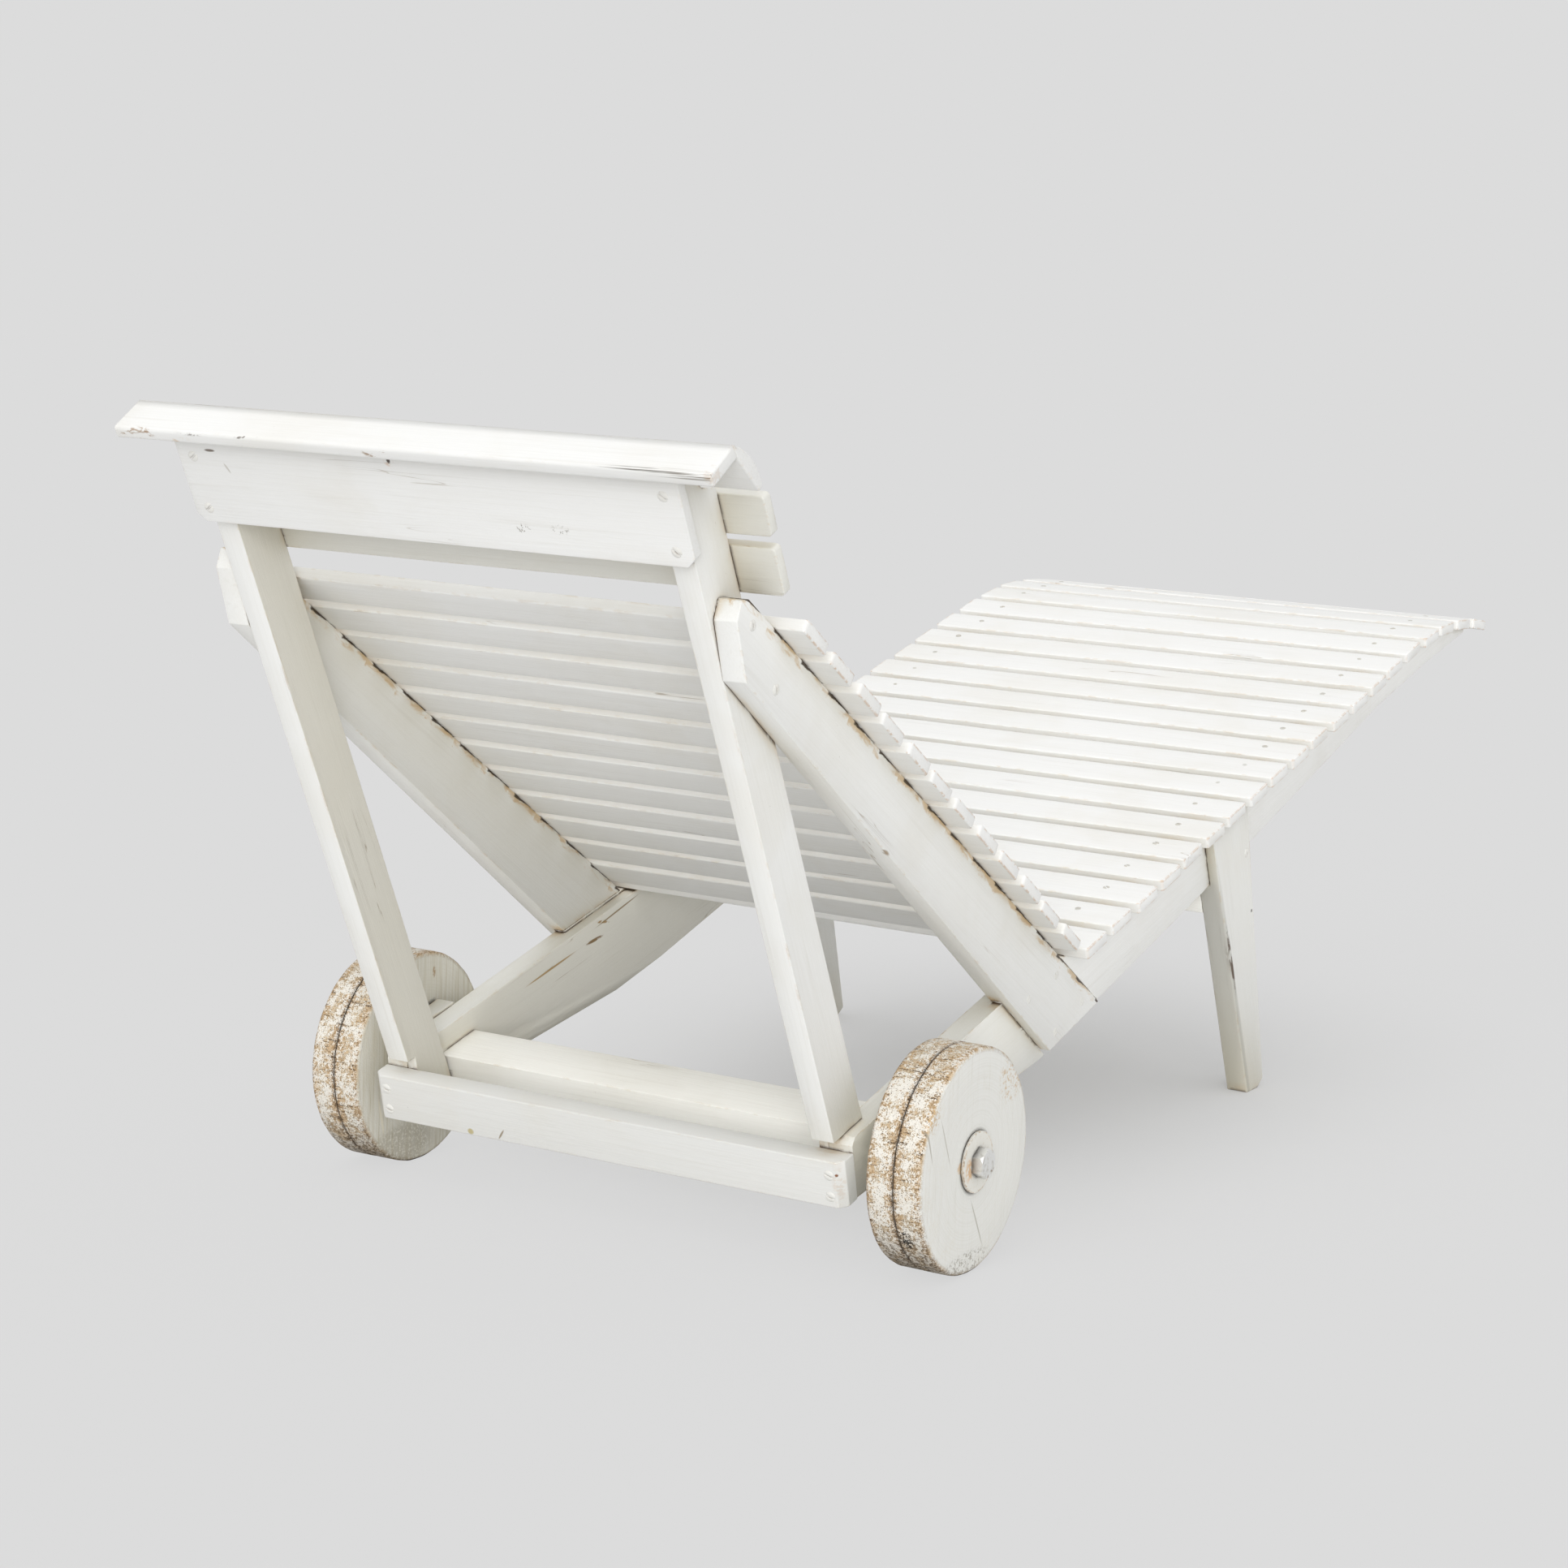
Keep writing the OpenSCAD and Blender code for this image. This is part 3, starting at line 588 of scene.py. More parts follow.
# length, width, thickness, and the radius of the plan corners
SLAT, BACK_SLAT = (0.568, 0.043, 0.011, 0.003), (0.568, 0.042, 0.011, 0.003)


def seat_slat_place(i):
    """Places (y, z) over seat slat i in the part's frame; the slat starts at y = 0."""
    (y, z), a = seat_place(FIRST_SEAT_SLAT + SEAT_PITCH * i + SLAT[1] / 2)
    return lambda p: on_seat(turned(p - [SLAT[1] / 2, 0], a) + [y, z])


def back_slat_place(i):
    """Places (y, z) over back slat i in the part's frame."""
    return lambda p: on_back(p + [FIRST_BACK_SLAT + BACK_PITCH * i, 0])


def head_slat_place(start):
    """Places over a slat in front of the posts: y runs up the post and z out of its face."""
    return lambda p: on_post(np.stack([-POST_DEPTH - p[..., 1], start + p[..., 0]], -1))


for i in range(20):
    slat(f"seat_slat_{i + 1:02d}", seat_slat_place(i), SLAT, 100 + i)
for i in range(12):
    slat(f"back_slat_{i + 1:02d}", back_slat_place(i), BACK_SLAT, 200 + i)
# where each starts up the post, and its width
HEAD_SLATS = {"headrest_slat_lower": (0.6485, 0.043), "headrest_slat_upper": (0.7015, 0.036)}
for seed, (node, (start, width)) in enumerate(HEAD_SLATS.items()):
    slat(node, head_slat_place(start), (0.552, width, 0.010, 0.004), 300 + seed, paint_head_slats)

# %% [markdown]
# ## The cap over the headrest
# Two boards meet in a ridge. The rear one is flat, and the front one is planed to a round
# of 55 mm, thick in the middle and thin at its lower edge. Each is an outline with rounded
# corners carried along X. Towards the ends the outline draws in along its own normals, so
# the end arrises are round as well. The ridge itself keeps no groove, because paint has
# filled the seam.

# %% Cap boards
CAP_R, CAP_T, CAP_X = 0.0555, 0.012, 0.286
RIDGE = np.array([AXLE_Y + 0.3735, 0.7161])


def way(degrees):
    """A step of length 1 in the YZ plane, at an angle above +Y: (cos, sin)."""
    return np.array([math.cos(math.radians(degrees)), math.sin(math.radians(degrees))])


# down each board's underside from the ridge, and out of it at a right angle
REAR_WAY, REAR_OUT, FRONT_WAY, FRONT_OUT = (way(a) for a in (-33, 57, 218, 128))
ROUND_CENTRE = CAP_T * REAR_OUT + CAP_R * way(-85)


def rounded_corners(corners, radii, steps=5):
    """Each corner becomes an arc: points c + r (cos, sin) between its two tangent points."""
    corners = np.asarray(corners, float)
    points = []
    for q, r in enumerate(radii):
        here = corners[q]
        back = corners[q - 1] - here
        on = corners[(q + 1) % len(corners)] - here
        back, on = back / np.linalg.norm(back), on / np.linalg.norm(on)
        half = math.acos(np.clip(back @ on, -1, 1)) / 2
        if r == 0 or half > math.radians(85):
            points.append(here[None])
            continue
        middle = here + (back + on) / np.linalg.norm(back + on) * r / math.sin(half)
        reach = r / math.tan(half)
        start, end = here + back * reach - middle, here + on * reach - middle
        a0 = math.atan2(start[1], start[0])
        sweep = (math.atan2(end[1], end[0]) - a0 + math.pi) % (2 * math.pi) - math.pi
        a = a0 + sweep * np.linspace(0, 1, steps)
        points.append(middle + r * np.stack([np.cos(a), np.sin(a)], -1))
    return np.concatenate(points)


def carried(outline, half_length, end_round, wobble, rng):
    """An outline carried along X, drawn in along its normals.

    At d from an end it is drawn in by r - sqrt(r^2 - (r - d)^2), and by low sines besides.
    """
    near = end_round * (1 - np.cos(np.linspace(0, math.pi / 2, 6)))
    inner = np.linspace(-half_length + 0.02, half_length - 0.02, 30)
    x = np.concatenate([-half_length + near, inner, (half_length - near)[::-1]])
    d = np.clip(half_length - np.abs(x), 0, end_round)
    inset = end_round - np.sqrt(end_round**2 - (end_round - d)**2)
    along = np.roll(outline, -1, 0) - np.roll(outline, 1, 0)
    normal = np.stack([along[:, 1], -along[:, 0]], -1) / np.linalg.norm(along, axis=1)[:, None]
    (y, z), (y_next, z_next) = outline.T, np.roll(outline, -1, 0).T
    area = np.sum(y * z_next - z * y_next)
    waves = sum(np.sin(9 * k * x + rng.uniform(0, 6.3)) / k for k in (1, 2, 3))
    inset = inset + wobble * (1 + waves / 2)
    section = outline[None] - np.sign(area) * np.clip(inset, 0, 1)[:, None, None] * normal[None]
    section = np.clip(section, outline.min(0), outline.max(0))
    xs = np.broadcast_to(x[:, None, None], section.shape[:2] + (1,))
    return np.concatenate([xs, section], -1)


ridge_top = CAP_T * REAR_OUT
rear_width, front_width = 0.038, 0.044
rear_end, front_end = rear_width * REAR_WAY, front_width * FRONT_WAY
rear_outline = rounded_corners(
    [(0, 0), rear_end, rear_end + ridge_top, ridge_top + 0.008 * REAR_WAY, ridge_top],
    [0, 0.003, 0.0035, 0, 0])
away = front_end - ROUND_CENTRE
depth = -(away @ FRONT_OUT) + math.sqrt((away @ FRONT_OUT) ** 2 - away @ away + CAP_R**2)
front_corner = front_end + depth * FRONT_OUT
a0, a1 = (math.atan2(*(p - ROUND_CENTRE)[::-1]) for p in (front_corner, ridge_top))
arc_angles = np.linspace(a0, a1, 14)[1:]
arc = ROUND_CENTRE + CAP_R * np.stack([np.cos(arc_angles), np.sin(arc_angles)], -1)
front_outline = rounded_corners([(0, 0), front_end, front_corner, *arc],
                                [0, 0.0027, 0.003] + [0] * len(arc))
for node, outline in (("headrest_cap_rear", rear_outline), ("headrest_cap_front", front_outline)):
    grid = carried(outline + RIDGE, CAP_X, 0.002, 0.0002, np.random.default_rng(41))
    skin(node + "_planed", [grid], paint_cap, "frame", node)
print("cap boards, thickness at the front edge", round(depth * 1000, 1), "mm")

# %% [markdown]
# ## Wheels
# Each wheel is two discs sawn from thick board and glued face to face. The rim has been
# round the garden for years: its paint comes off in patches over ochre wood, grit is pressed
# into the grain, and the seam between the discs has opened. A disc is a profile turned
# about the axle. Its radius wanders by half a millimetre, as a bandsaw leaves it, and its
# rims are rounded more in some places than in others.

# %% Wheel discs
WHEEL_R, BORE_R, DISC_T, WHEEL_X = 0.100, 0.00808, 0.0265, 0.267


def disc_points(x_in, x_out, round_in, round_out, rng, around=160):
    """Profile (x, r) turned about the axle: r(a) wanders with low sines of the angle a."""
    a = np.linspace(0, 2 * math.pi, around, endpoint=False)
    wander = sum(rng.uniform(0.2, 0.5) * np.sin(k * a + rng.uniform(0, 6.3)) / k
                 for k in (2, 3, 5, 9))
    chips = sum(rng.uniform(0.5, 1) * np.sin(k * a + rng.uniform(0, 6.3))
                for k in (4, 7, 13, 23, 31))
    quarter = np.linspace(0, math.pi / 2, 6)
    # each row is x, r, and whether the rim's wander moves it
    inner, outer = ([(x, r, 0) for r in (BORE_R, 0.030, 0.070)] +
                    [(x + sign * r * (1 - math.sin(q)), WHEEL_R - r * (1 - math.cos(q)), 1)
                     for q in quarter[::-1]]
                    for x, sign, r in ((x_in, 1, round_in), (x_out, -1, round_out)))
    rows = np.array(inner + [((x_in + x_out) / 2, WHEEL_R, 1)] + outer[::-1])
    lie = 0.0005 * (wander - np.abs(wander).max()) + 0.00012 * (chips - np.abs(chips).max())
    r = rows[:, 1:2] + rows[:, 2:3] * lie[None]
    x = np.broadcast_to(rows[:, 0:1], r.shape)
    return np.stack([x, AXLE_Y + r * np.cos(a), AXLE_Z + r * np.sin(a)], -1)


# %% [markdown]
# The wheel's finish is one material. How far a point is from the axle says whether it lies
# on a face or near the rim, and how far the normal leans from X says whether it is on the
# tread. On the faces the paint is whole and shows turned brush lines. On the tread it comes
# off in flakes 10 to 20 mm across, most at the seam and the rims, where the wood is ochre
# and streaked, and grit of about 1 mm sits in it. The first number of each pattern is its
# marks per metre.

# %% Worn wheel paint
WHEEL_GRAIN = {"flakes": (62, 8, 0.78), "blotch": (21, 6, 0.70), "coarse": (330, 3, 0.75),
               "grit": (900, 2, 0.75)}


def wheel_paint(name, seed, aged, marks):
    """Paint whole on the faces and flaked on the tread, over ochre softwood with grit."""
    material, tree, shader = new_material(name)
    place = add(tree, "TexCoord", output="Object")
    moved = add(tree, "Mapping", {"Vector": place, "Location": (seed, seed, 0.0)})
    drawn = {pattern: add(tree, "TexNoise", {"Vector": moved, "Scale": scale, "Detail": detail,
                                             "Roughness": gain})
             for pattern, (scale, detail, gain) in WHEEL_GRAIN.items()}
    grain = add(tree, "Mapping", {"Vector": moved, "Scale": (400.0, 330.0, 14.0),
                                  "Rotation": (0.12, 0.0, 0.0)})
    lines = add(tree, "TexNoise", {"Vector": grain, "Scale": 1.0, "Detail": 3.0, "Roughness": 0.6})
    apart = add(tree, "VectorMath", {0: place, 1: (0.0, AXLE_Y, AXLE_Z)}, operation="SUBTRACT")
    level = add(tree, "VectorMath", {0: apart, 1: (0.0, 1.0, 1.0)}, operation="MULTIPLY")
    radius = add(tree, "VectorMath", {0: level}, "Value", operation="LENGTH")
    turned_lines = add(tree, "CombineXYZ", {0: radius})
    rings = add(tree, "TexNoise", {"Vector": turned_lines, "Scale": 420.0, "Detail": 2.0})
    drawn_out = add(tree, "Mapping", {"Vector": moved, "Scale": (35.0, 420.0, 420.0)})
    streaks = add(tree, "TexNoise", {"Vector": drawn_out, "Scale": 1.0, "Detail": 3.0,
                                     "Roughness": 0.7})
    straight, joint, true = edge_and_joint(tree, 0.005, 0.004)
    side = add(tree, "SeparateXYZ", {0: true}, "X")
    faceward = add(tree, "Math", {0: side}, operation="ABSOLUTE")
    height_up = add(tree, "SeparateXYZ", {0: place}, "Z")
    tread, arris = (faceward, 0.92, 0.50), (straight, 0.995, 0.93)
    # how far X is from the seam between the discs, and from the middle of a disc's thickness
    sideways = add(tree, "SeparateXYZ", {0: place}, "X")
    outward = add(tree, "Math", {0: sideways}, operation="ABSOLUTE")
    beyond = add(tree, "Math", {0: outward, 1: WHEEL_X + DISC_T}, operation="SUBTRACT")
    from_seam = add(tree, "Math", {0: beyond}, operation="ABSOLUTE")
    off_half = add(tree, "Math", {0: from_seam, 1: DISC_T / 2}, operation="SUBTRACT")
    off_middle = add(tree, "Math", {0: off_half}, operation="ABSOLUTE")
    coarse, grit = drawn["coarse"], drawn["grit"]
    flakes, blotch = (total(tree, [(drawn[big], 1.0), (coarse, 0.55), (grit, 0.35)])
                      for big in ("flakes", "blotch"))
    bare = where(tree, 1.0, tread, (flakes, 0.97, 1.05))
    edgeward = total(tree, [(off_middle, 12.0), (flakes, 0.95), (blotch, 0.15)])
    layers = [
        ("#cbc5b0", 0.6 * aged, (lines, 0.35, 0.65)),
        ("#a59c82", 0.45 * aged + 0.04, (lines, 0.58, 0.68)),
        ("#c4c0b2", 0.10, (rings, 0.45, 0.60)),
        ("#d9cfb2", 0.35 * aged),
        ("#d9d2bf", 0.20, (blotch, 0.98, 1.15)),
        ("#ebe6dc", 0.85, tread),
        ("#cdb48c", 0.70, (radius, 0.0945, 0.0985), (flakes, 0.90, 1.00)),
        ("#d6c4a6", 0.70, (bare, 0.0, 1.0)),
        ("#dbbe98", 0.70, tread, (edgeward, 1.08, 1.20)),
        ("#a58255", 0.65, tread, (edgeward, 1.14, 1.26), (coarse, 0.46, 0.58)),
        ("#4a3622", 0.85, tread, (streaks, 0.57, 0.62), (edgeward, 1.06, 1.18)),
        ("#241a12", 0.85, tread, (from_seam, 0.0030, 0.0008), (grit, 0.50, 0.55)),
        ("#7a5326", 0.90, arris, (coarse, 0.40, 0.52), (flakes, 0.74, 0.86)),
        # painted shade: the tread grows darker and browner towards its bottom, where it faces the
        # floor
        ("#93826a", 0.62, tread, (height_up, 0.060, 0.005)),
        ("#4a3b2a", 0.85, tread, (height_up, 0.080, 0.010), (coarse, 0.48, 0.56)),
        ("#45341f", 0.85, tread, (grit, 0.57, 0.63), (edgeward, 0.96, 1.10)),
        ("#231b14", 0.95, arris, (grit, 0.50, 0.57), (blotch, 0.74, 0.88)),
        ("#2e2318", 0.95, (joint, 0.92, 0.55))]
    layers += marked(tree, place, drawn, marks)
    height = total(tree, [(bare, -0.35), (coarse, 0.25), (lines, 0.12), (rings, 0.06),
                          (flakes, 0.3)])
    bump = add(tree, "Bump", {"Height": height, "Distance": 0.001, "Strength": 0.8})
    fill(tree, shader, {"Base Color": coats(tree, "#e8e8e4", layers), "Normal": bump,
                        "Roughness": total(tree, [(bare, 0.30), (0.48, 1.0)]),
                        "IOR": OIL_PAINT_IOR})
    return material


right_marks = [
    mark((-320, 86, 135), (6, 1.2, 26), "#a39d8f", 0.70, "coarse", 0.2, (-0.35, 0, 0)),
    mark((-320, 56, 128), (6, 1, 30), "#aaa496", 0.60, "coarse", 0.2, (-0.42, 0, 0)),
    mark((-320, -8, 43), (6, 1.2, 32), "#a39d8f", 0.65, "coarse", 0.2, (-0.50, 0, 0)),
    mark((-320, 28, 100), (6, 6, 6), "#cfa465", 0.60, "coarse", 0.40),
    mark((-320, 10, 12), (8, 50, 12), "#8f887a", 0.70, "coarse", 0.50),
    mark((-320, -62, 162), (6, 26, 26), "#c4a06a", 0.70, "coarse", 0.52),
    mark((-320, 80, 158), (6, 14, 20), "#c4a06a", 0.75, "coarse", 0.50),
    mark((-301, 83.5, 48), (8, 13, 14), "#17110c", 0.98, "coarse", 0.44),
    mark((-290, 20, 2), (30, 50, 10), "#6f6758", 0.70, "coarse", 0.45)]
left_marks = [
    mark((267, -78, 147), (4, 2.5, 16), "#e9e3d0", 0.85, "coarse", 0.2),
    mark((267, 61, 54), (4, 2.2, 24), "#e9e3d0", 0.85, "coarse", 0.2, (-0.25, 0, 0)),
    mark((267, -18, 179), (4, 2.8, 7), "#a5824f", 0.75, "coarse", 0.40),
    mark((267, 30, 20), (4, 60, 26), "#9b927c", 0.45, "coarse", 0.40)]
WHEEL_PAINTS = {"right": wheel_paint("flaked_paint_right_wheel", 0.3, 0.10, right_marks),
                "left": wheel_paint("flaked_paint_left_wheel", 1.9, 0.75, left_marks)}
for side, sign in (("right", -1), ("left", 1)):
    for part, start, rounds in (("inner", 0, (0.0042, 0.0020)), ("outer", 1, (0.0020, 0.0042))):
        node = f"wheel_{side}_{part}_disc"
        x_in = WHEEL_X + start * DISC_T
        rng = np.random.default_rng(60 + 2 * (sign > 0) + start)
        grid = disc_points(x_in, x_in + DISC_T, *rounds, rng)
        grid[..., 0] *= sign
        disc = skin(node + "_turned", [grid], WHEEL_PAINTS[side], "wheel_" + side, node, ring=True)
        disc.data.set_sharp_from_angle(angle=math.radians(50))

# %% [markdown]
# ## Iron: coach screws and washers
# The hexagonal heads are zinc-plated steel gone dull, with a little rust at the corners.
# The washers were painted in with the wheels, and the paint has chipped at their edges.
# Their solids have the right shape, so they only get these finishes. Both are painted dark
# where the head meets the washer: painted shade of the narrow gap there.

# %% Metal finishes
def dull_zinc():
    """Old zinc plate: grey metal, rougher and browner in blotches of about 5 mm."""
    material, tree, shader = new_material("dull_zinc_plate")
    place = add(tree, "TexCoord", output="Object")
    blotch = add(tree, "TexNoise", {"Vector": place, "Scale": 190.0, "Detail": 4.0})
    edge, joint, _ = edge_and_joint(tree, 0.002, 0.010)
    tint = coats(tree, "#efefed", [("#c9c6be", 0.5, (blotch, 0.50, 0.64)),
                                   ("#8d6a45", 0.6, (blotch, 0.63, 0.70)),
                                   ("#f2f2f0", 0.5, (edge, 0.99, 0.85)),
                                   # painted shade: the head's sides darken next to the washer
                                   ("#2f2a25", 0.9, (joint, 0.88, 0.55))])
    bump = add(tree, "Bump", {"Height": blotch, "Distance": 0.0002, "Strength": 0.25})
    fill(tree, shader, {"Base Color": tint, "Metallic": 0.85, "Normal": bump,
                        "Roughness": total(tree, [(blotch, 0.5), (0.15, 1.0)])})
    return material


def painted_iron():
    """Off-white paint on iron, chipped to rust near edges; chips are about 2 mm."""
    material, tree, shader = new_material("chipped_paint_on_iron")
    place = add(tree, "TexCoord", output="Object")
    chips = add(tree, "TexNoise", {"Vector": place, "Scale": 260.0, "Detail": 4.0,
                                   "Roughness": 0.7})
    edge, joint, _ = edge_and_joint(tree, 0.003, 0.006)
    rust = spot(tree, place, from_axle(-0.323, 0.016, 0.096), (0.004, 0.009, 0.013))
    worn = where(tree, 1.0, (edge, 0.995, 0.88), (chips, 0.46, 0.56))
    tint = coats(tree, "#e6e4dc", [
        ("#c9bfa4", 0.5, (chips, 0.55, 0.70)),
        ("#d9a767", 0.75, (rust, 1.0, 0.4), (chips, 0.40, 0.52)),
        ("#b98d52", worn),
        ("#4a3826", 0.9, (worn, 0.3, 0.9), (chips, 0.56, 0.64)),
        # painted shade: dark around the screw's head, for the shadowed gap there
        ("#2b2118", 0.95, (joint, 0.80, 0.35))])
    height = total(tree, [(worn, -0.2), (chips, 0.15)])
    bump = add(tree, "Bump", {"Height": height, "Distance": 0.001, "Strength": 0.7})
    fill(tree, shader, {"Base Color": tint, "Roughness": 0.5, "Normal": bump})
    return material


for node, material in (("axle_screws", dull_zinc()), ("axle_washers", painted_iron())):
    mesh = frame["nodes"][node].data
    mesh.materials.clear()
    mesh.materials.append(material)

# %% [markdown]
# ## Screws and nails
# The frame is held by slotted wood screws, driven nearly flush and painted over, and each
# slat by one nail at each rail. A screw's head is a low dome with a slot across it. A
# nail's head is smaller, with a nick across it that the paint hasn't filled. Both are a
# height over a disc, worked out in polar coordinates, and set on the board by its normal.

# %% Small heads as heights over a disc
def head(place, normal, slot_way, radius, rise, slot_width=0.0, slot_depth=0.0, around=28):
    """Height rise (1 - (r/R)^4) over a disc, less the depth of the slot.

    The slot's floor is depth / (1 + (2.4 v/width)^8) at v from its middle line: nearly flat,
    with steep sides.
    """
    normal = np.asarray(normal, float) / np.linalg.norm(normal)
    u = np.asarray(slot_way, float)
    u = u - (u @ normal) * normal
    u /= np.linalg.norm(u)
    v = np.cross(normal, u)
    # the rings' radii as shares of the head's; the last one goes 2 mm down into the board
    t = np.array([0.02, 0.12, 0.22, 0.34, 0.5, 0.66, 0.8, 0.9, 0.96, 1.0, 1.0])[:, None]
    a = np.linspace(0, 2 * math.pi, around, endpoint=False)[None]
    p, q = radius * t * np.cos(a), radius * t * np.sin(a)
    h = rise * (1 - t**4) + 0 * a
    if slot_width:
        h = h - slot_depth * (1 / (1 + (2.4 * q / slot_width) ** 8))
    h[-1] = -0.002
    return np.asarray(place, float) + p[..., None] * u + q[..., None] * v + h[..., None] * normal


def yz(place_2d, x):
    """A 2-D place in the YZ plane with its X."""
    return np.array([x, *place_2d])


rng = np.random.default_rng(7)
SCREW = dict(radius=0.0048, rise=0.0012, slot_width=0.0016, slot_depth=0.0015)
FLUSH = dict(radius=0.0042, rise=0.0003, slot_width=0.0012, slot_depth=0.0005)
screws = []
for sign in (-1, 1):
    out = (sign, 0, 0)
    # two screws through the top of each back rail, four at its heel, one at each leg
    for y, z in ((0.294, 0.582), (0.255, 0.528)):
        screws.append(head(from_axle(sign * RAIL_OUT, y, z), out, (0, 0.15, 1), **SCREW))
    for y, z in ((-0.277, 0.205), (-0.221, 0.192), (-0.335, 0.169), (-0.280, 0.150)):
        slot_way = (0, rng.uniform(-1, 1), rng.uniform(-1, 1))
        screws.append(head(from_axle(sign * RAIL_OUT, y, z), out, slot_way, **FLUSH))
    screws.append(head(from_axle(sign * LEG_OUT, -0.690, 0.262), out, (0, -0.1, 1), **SCREW))
    # two at each end of the rear cross rail and of the board behind the posts
    rail_out = (0, math.cos(SEAT_TILT), -math.sin(SEAT_TILT))
    for h in (-0.027, -0.0475):
        spot_2d = on_seat((0.404, h))
        screws.append(head(yz(spot_2d, sign * 0.2325), rail_out, (1, 0, 0.3), **SCREW))
    post_out = (0, math.cos(POST_LEAN), -math.sin(POST_LEAN))
    for up, x in ((0.7665, 0.2265), (0.7185, 0.2270)):
        screws.append(head(yz(on_post((0.010, up)), sign * x), post_out, (sign, 0, -0.9), **SCREW))

nails = []


def nail(place_2d, lift, x, normal):
    """A small painted head, with a little of the real one's scatter."""
    x += rng.uniform(-0.004, 0.004)
    slot_way, radius = (1, rng.uniform(-1, 1), 0), rng.uniform(0.0029, 0.0035)
    nails.append(head(yz(place_2d, x), normal, slot_way, radius, lift, 0.0013, 0.0010, 16))


for place_of, count, size, x in ((seat_slat_place, 20, SLAT, 0.236),
                                 (back_slat_place, 12, BACK_SLAT, 0.244)):
    for i in range(count):
        middle = np.array([size[1] * rng.uniform(0.32, 0.48), size[2]])
        foot, tip = place_of(i)(np.stack([middle, middle + [0, 0.01]]))
        for sign in (-1, 1):
            nail(foot, rng.uniform(0.0004, 0.0009), sign * x, (0, *(tip - foot)))
for start, width in HEAD_SLATS.values():
    foot, tip = head_slat_place(start)(np.array([[width / 2, 0.010], [width / 2, 0.020]]))
    for sign in (-1, 1):
        nail(foot, 0.0006, sign * 0.223, (0, *(tip - foot)))

paint_heads = painted_wood("oil_paint_on_fasteners", seed=11.0, wear=0.1, dirt=0.7, stain=0.4,
                           hidden_shade=0.0, base="#e6e5e0")
skin("slotted_screws", screws, paint_heads, "frame")
# the nails' darker grey is partly thin paint over the iron and partly painted shade of their slots
# and small heads
paint_nails = painted_wood("thin_paint_on_nails", seed=12.0, wear=0.3, dirt=0.9, hidden_shade=0.0,
                           base="#c4c2bb")
skin("slat_nails", nails, paint_nails, "frame")
print("screws", len(screws), "nails", len(nails))

# %% [markdown]
# ## The floor and the light
# The studio is one even pale grey. The photograph's paper was whitened all around, and only
# the shadow under the seat was kept. So for the camera the floor is mostly a plain grey of
# the background's own value, and turns into lit paper under the seat, where it holds the
# soft shadow. A broad light shines from above, and a window low behind the camera is about
# as strong.

# %% Studio
BACKGROUND, PAPER = "#dcdcdc", "#dadada"


def plain_floor():
    """A square of 24 m a side under the wheels."""
    material = bpy.data.materials.new("studio_paper")
    tree = empty_tree(material)
    lit = add(tree, "BsdfDiffuse", {"Color": colour(PAPER)})
    plain = add(tree, "Emission", {"Color": colour(BACKGROUND)})
    seen = add(tree, "LightPath", output="Is Camera Ray")
    place = add(tree, "TexCoord", output="Object")
    away = spot(tree, place, from_axle(-0.1, -0.65, 0.0), (0.65, 0.62, 1.0))
    shaded = where(tree, 0.7, (away, 1.2, 0.0))
    whitened = add(tree, "Math", {0: 0.9, 1: shaded}, operation="SUBTRACT")
    share = add(tree, "Math", {0: seen, 1: whitened}, operation="MULTIPLY")
    add(tree, "OutputMaterial", {"Surface": add(tree, "MixShader", {0: share, 1: lit, 2: plain})})
    corners = [(-12, -12, 0), (12, -12, 0), (12, 12, 0), (-12, 12, 0)]
    placed("studio_floor", new_mesh("studio_floor", corners, [(0, 1, 2, 3)], material))


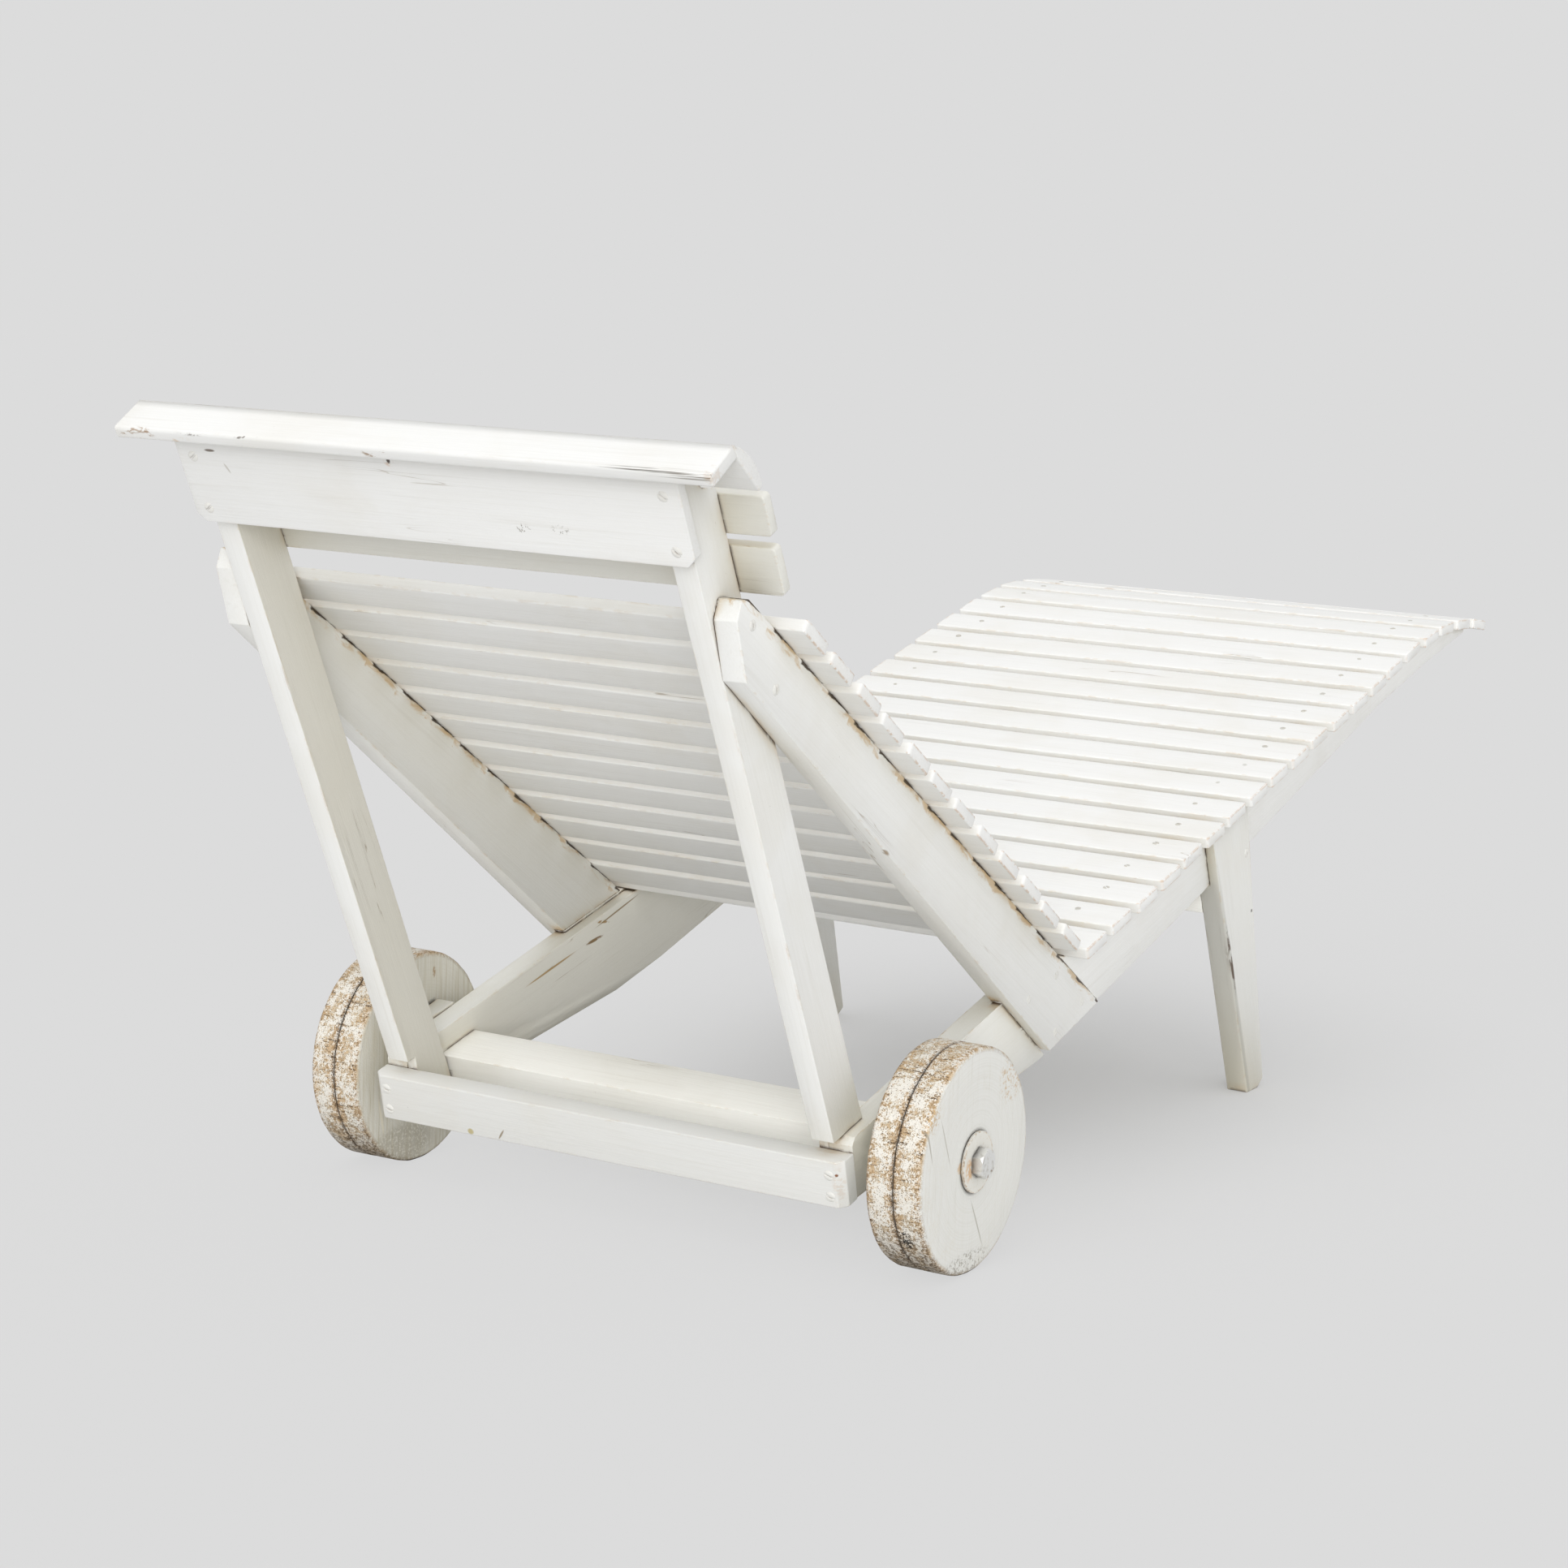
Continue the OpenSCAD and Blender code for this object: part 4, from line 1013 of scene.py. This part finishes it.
plain_floor()
world = bpy.data.worlds.new("studio_air")
bpy.context.scene.world = world
air = empty_tree(world)
lit = add(air, "Background", {"Color": (1, 1, 1, 1), "Strength": 0.68})
plain = add(air, "Background", {"Color": colour(BACKGROUND), "Strength": 1.0})
seen = add(air, "LightPath", output="Is Camera Ray")
mirrored = add(air, "LightPath", output="Is Glossy Ray")
either = add(air, "Math", {0: seen, 1: mirrored}, operation="MAXIMUM")
add(air, "OutputWorld", {"Surface": add(air, "MixShader", {0: either, 1: lit, 2: plain})})


def sun(name, toward, strength, spread):
    """A lamp at infinity that stands in the direction toward, as wide as spread degrees."""
    lamp = bpy.data.lights.new(name, "SUN")
    lamp.energy, lamp.angle = strength, math.radians(spread)
    item = placed(name, lamp)
    item.rotation_euler = Vector(toward).to_track_quat("Z", "Y").to_euler()


sun("broad_top_light", (-0.15, 0.6, 1.0), 1.00, 80)
sun("window_behind_camera", (-0.52, 0.85, 0.22), 1.04, 30)

# %% [markdown]
# ## The camera
# It stands behind the chair's right-hand rear corner, 0.9 m up, looks down by 9.6 degrees
# and leans by 2 degrees. These values come from fitting the chair's straight lines and
# wheels to the photograph.

# %% Camera
PHOTO_SIZE, FOCAL_PIXELS = 1932, 4253.01
yaw, pitch, roll = map(math.radians, (30.26, 9.57, 2.0))
ahead = np.array([math.sin(yaw) * math.cos(pitch), -math.cos(yaw) * math.cos(pitch),
                  -math.sin(pitch)])
level_right = np.array([-math.cos(yaw), -math.sin(yaw), 0.0])
level_up = np.cross(level_right, ahead)
right = math.cos(roll) * level_right + math.sin(roll) * level_up
up = -math.sin(roll) * level_right + math.cos(roll) * level_up
stand = from_axle(-1.61137, 2.56069, 0.90448)
lens = bpy.data.cameras.new("photo_camera")
lens.sensor_width = 36.0
lens.lens = lens.sensor_width * FOCAL_PIXELS / PHOTO_SIZE
camera = placed("photo_camera", lens)
rows = [(right[k], up[k], -ahead[k], stand[k]) for k in range(3)]
camera.matrix_world = Matrix([*rows, (0, 0, 0, 1)])
bpy.context.scene.camera = camera
bpy.context.scene.view_settings.view_transform = "Standard"
print("lens", round(lens.lens, 2), "mm")
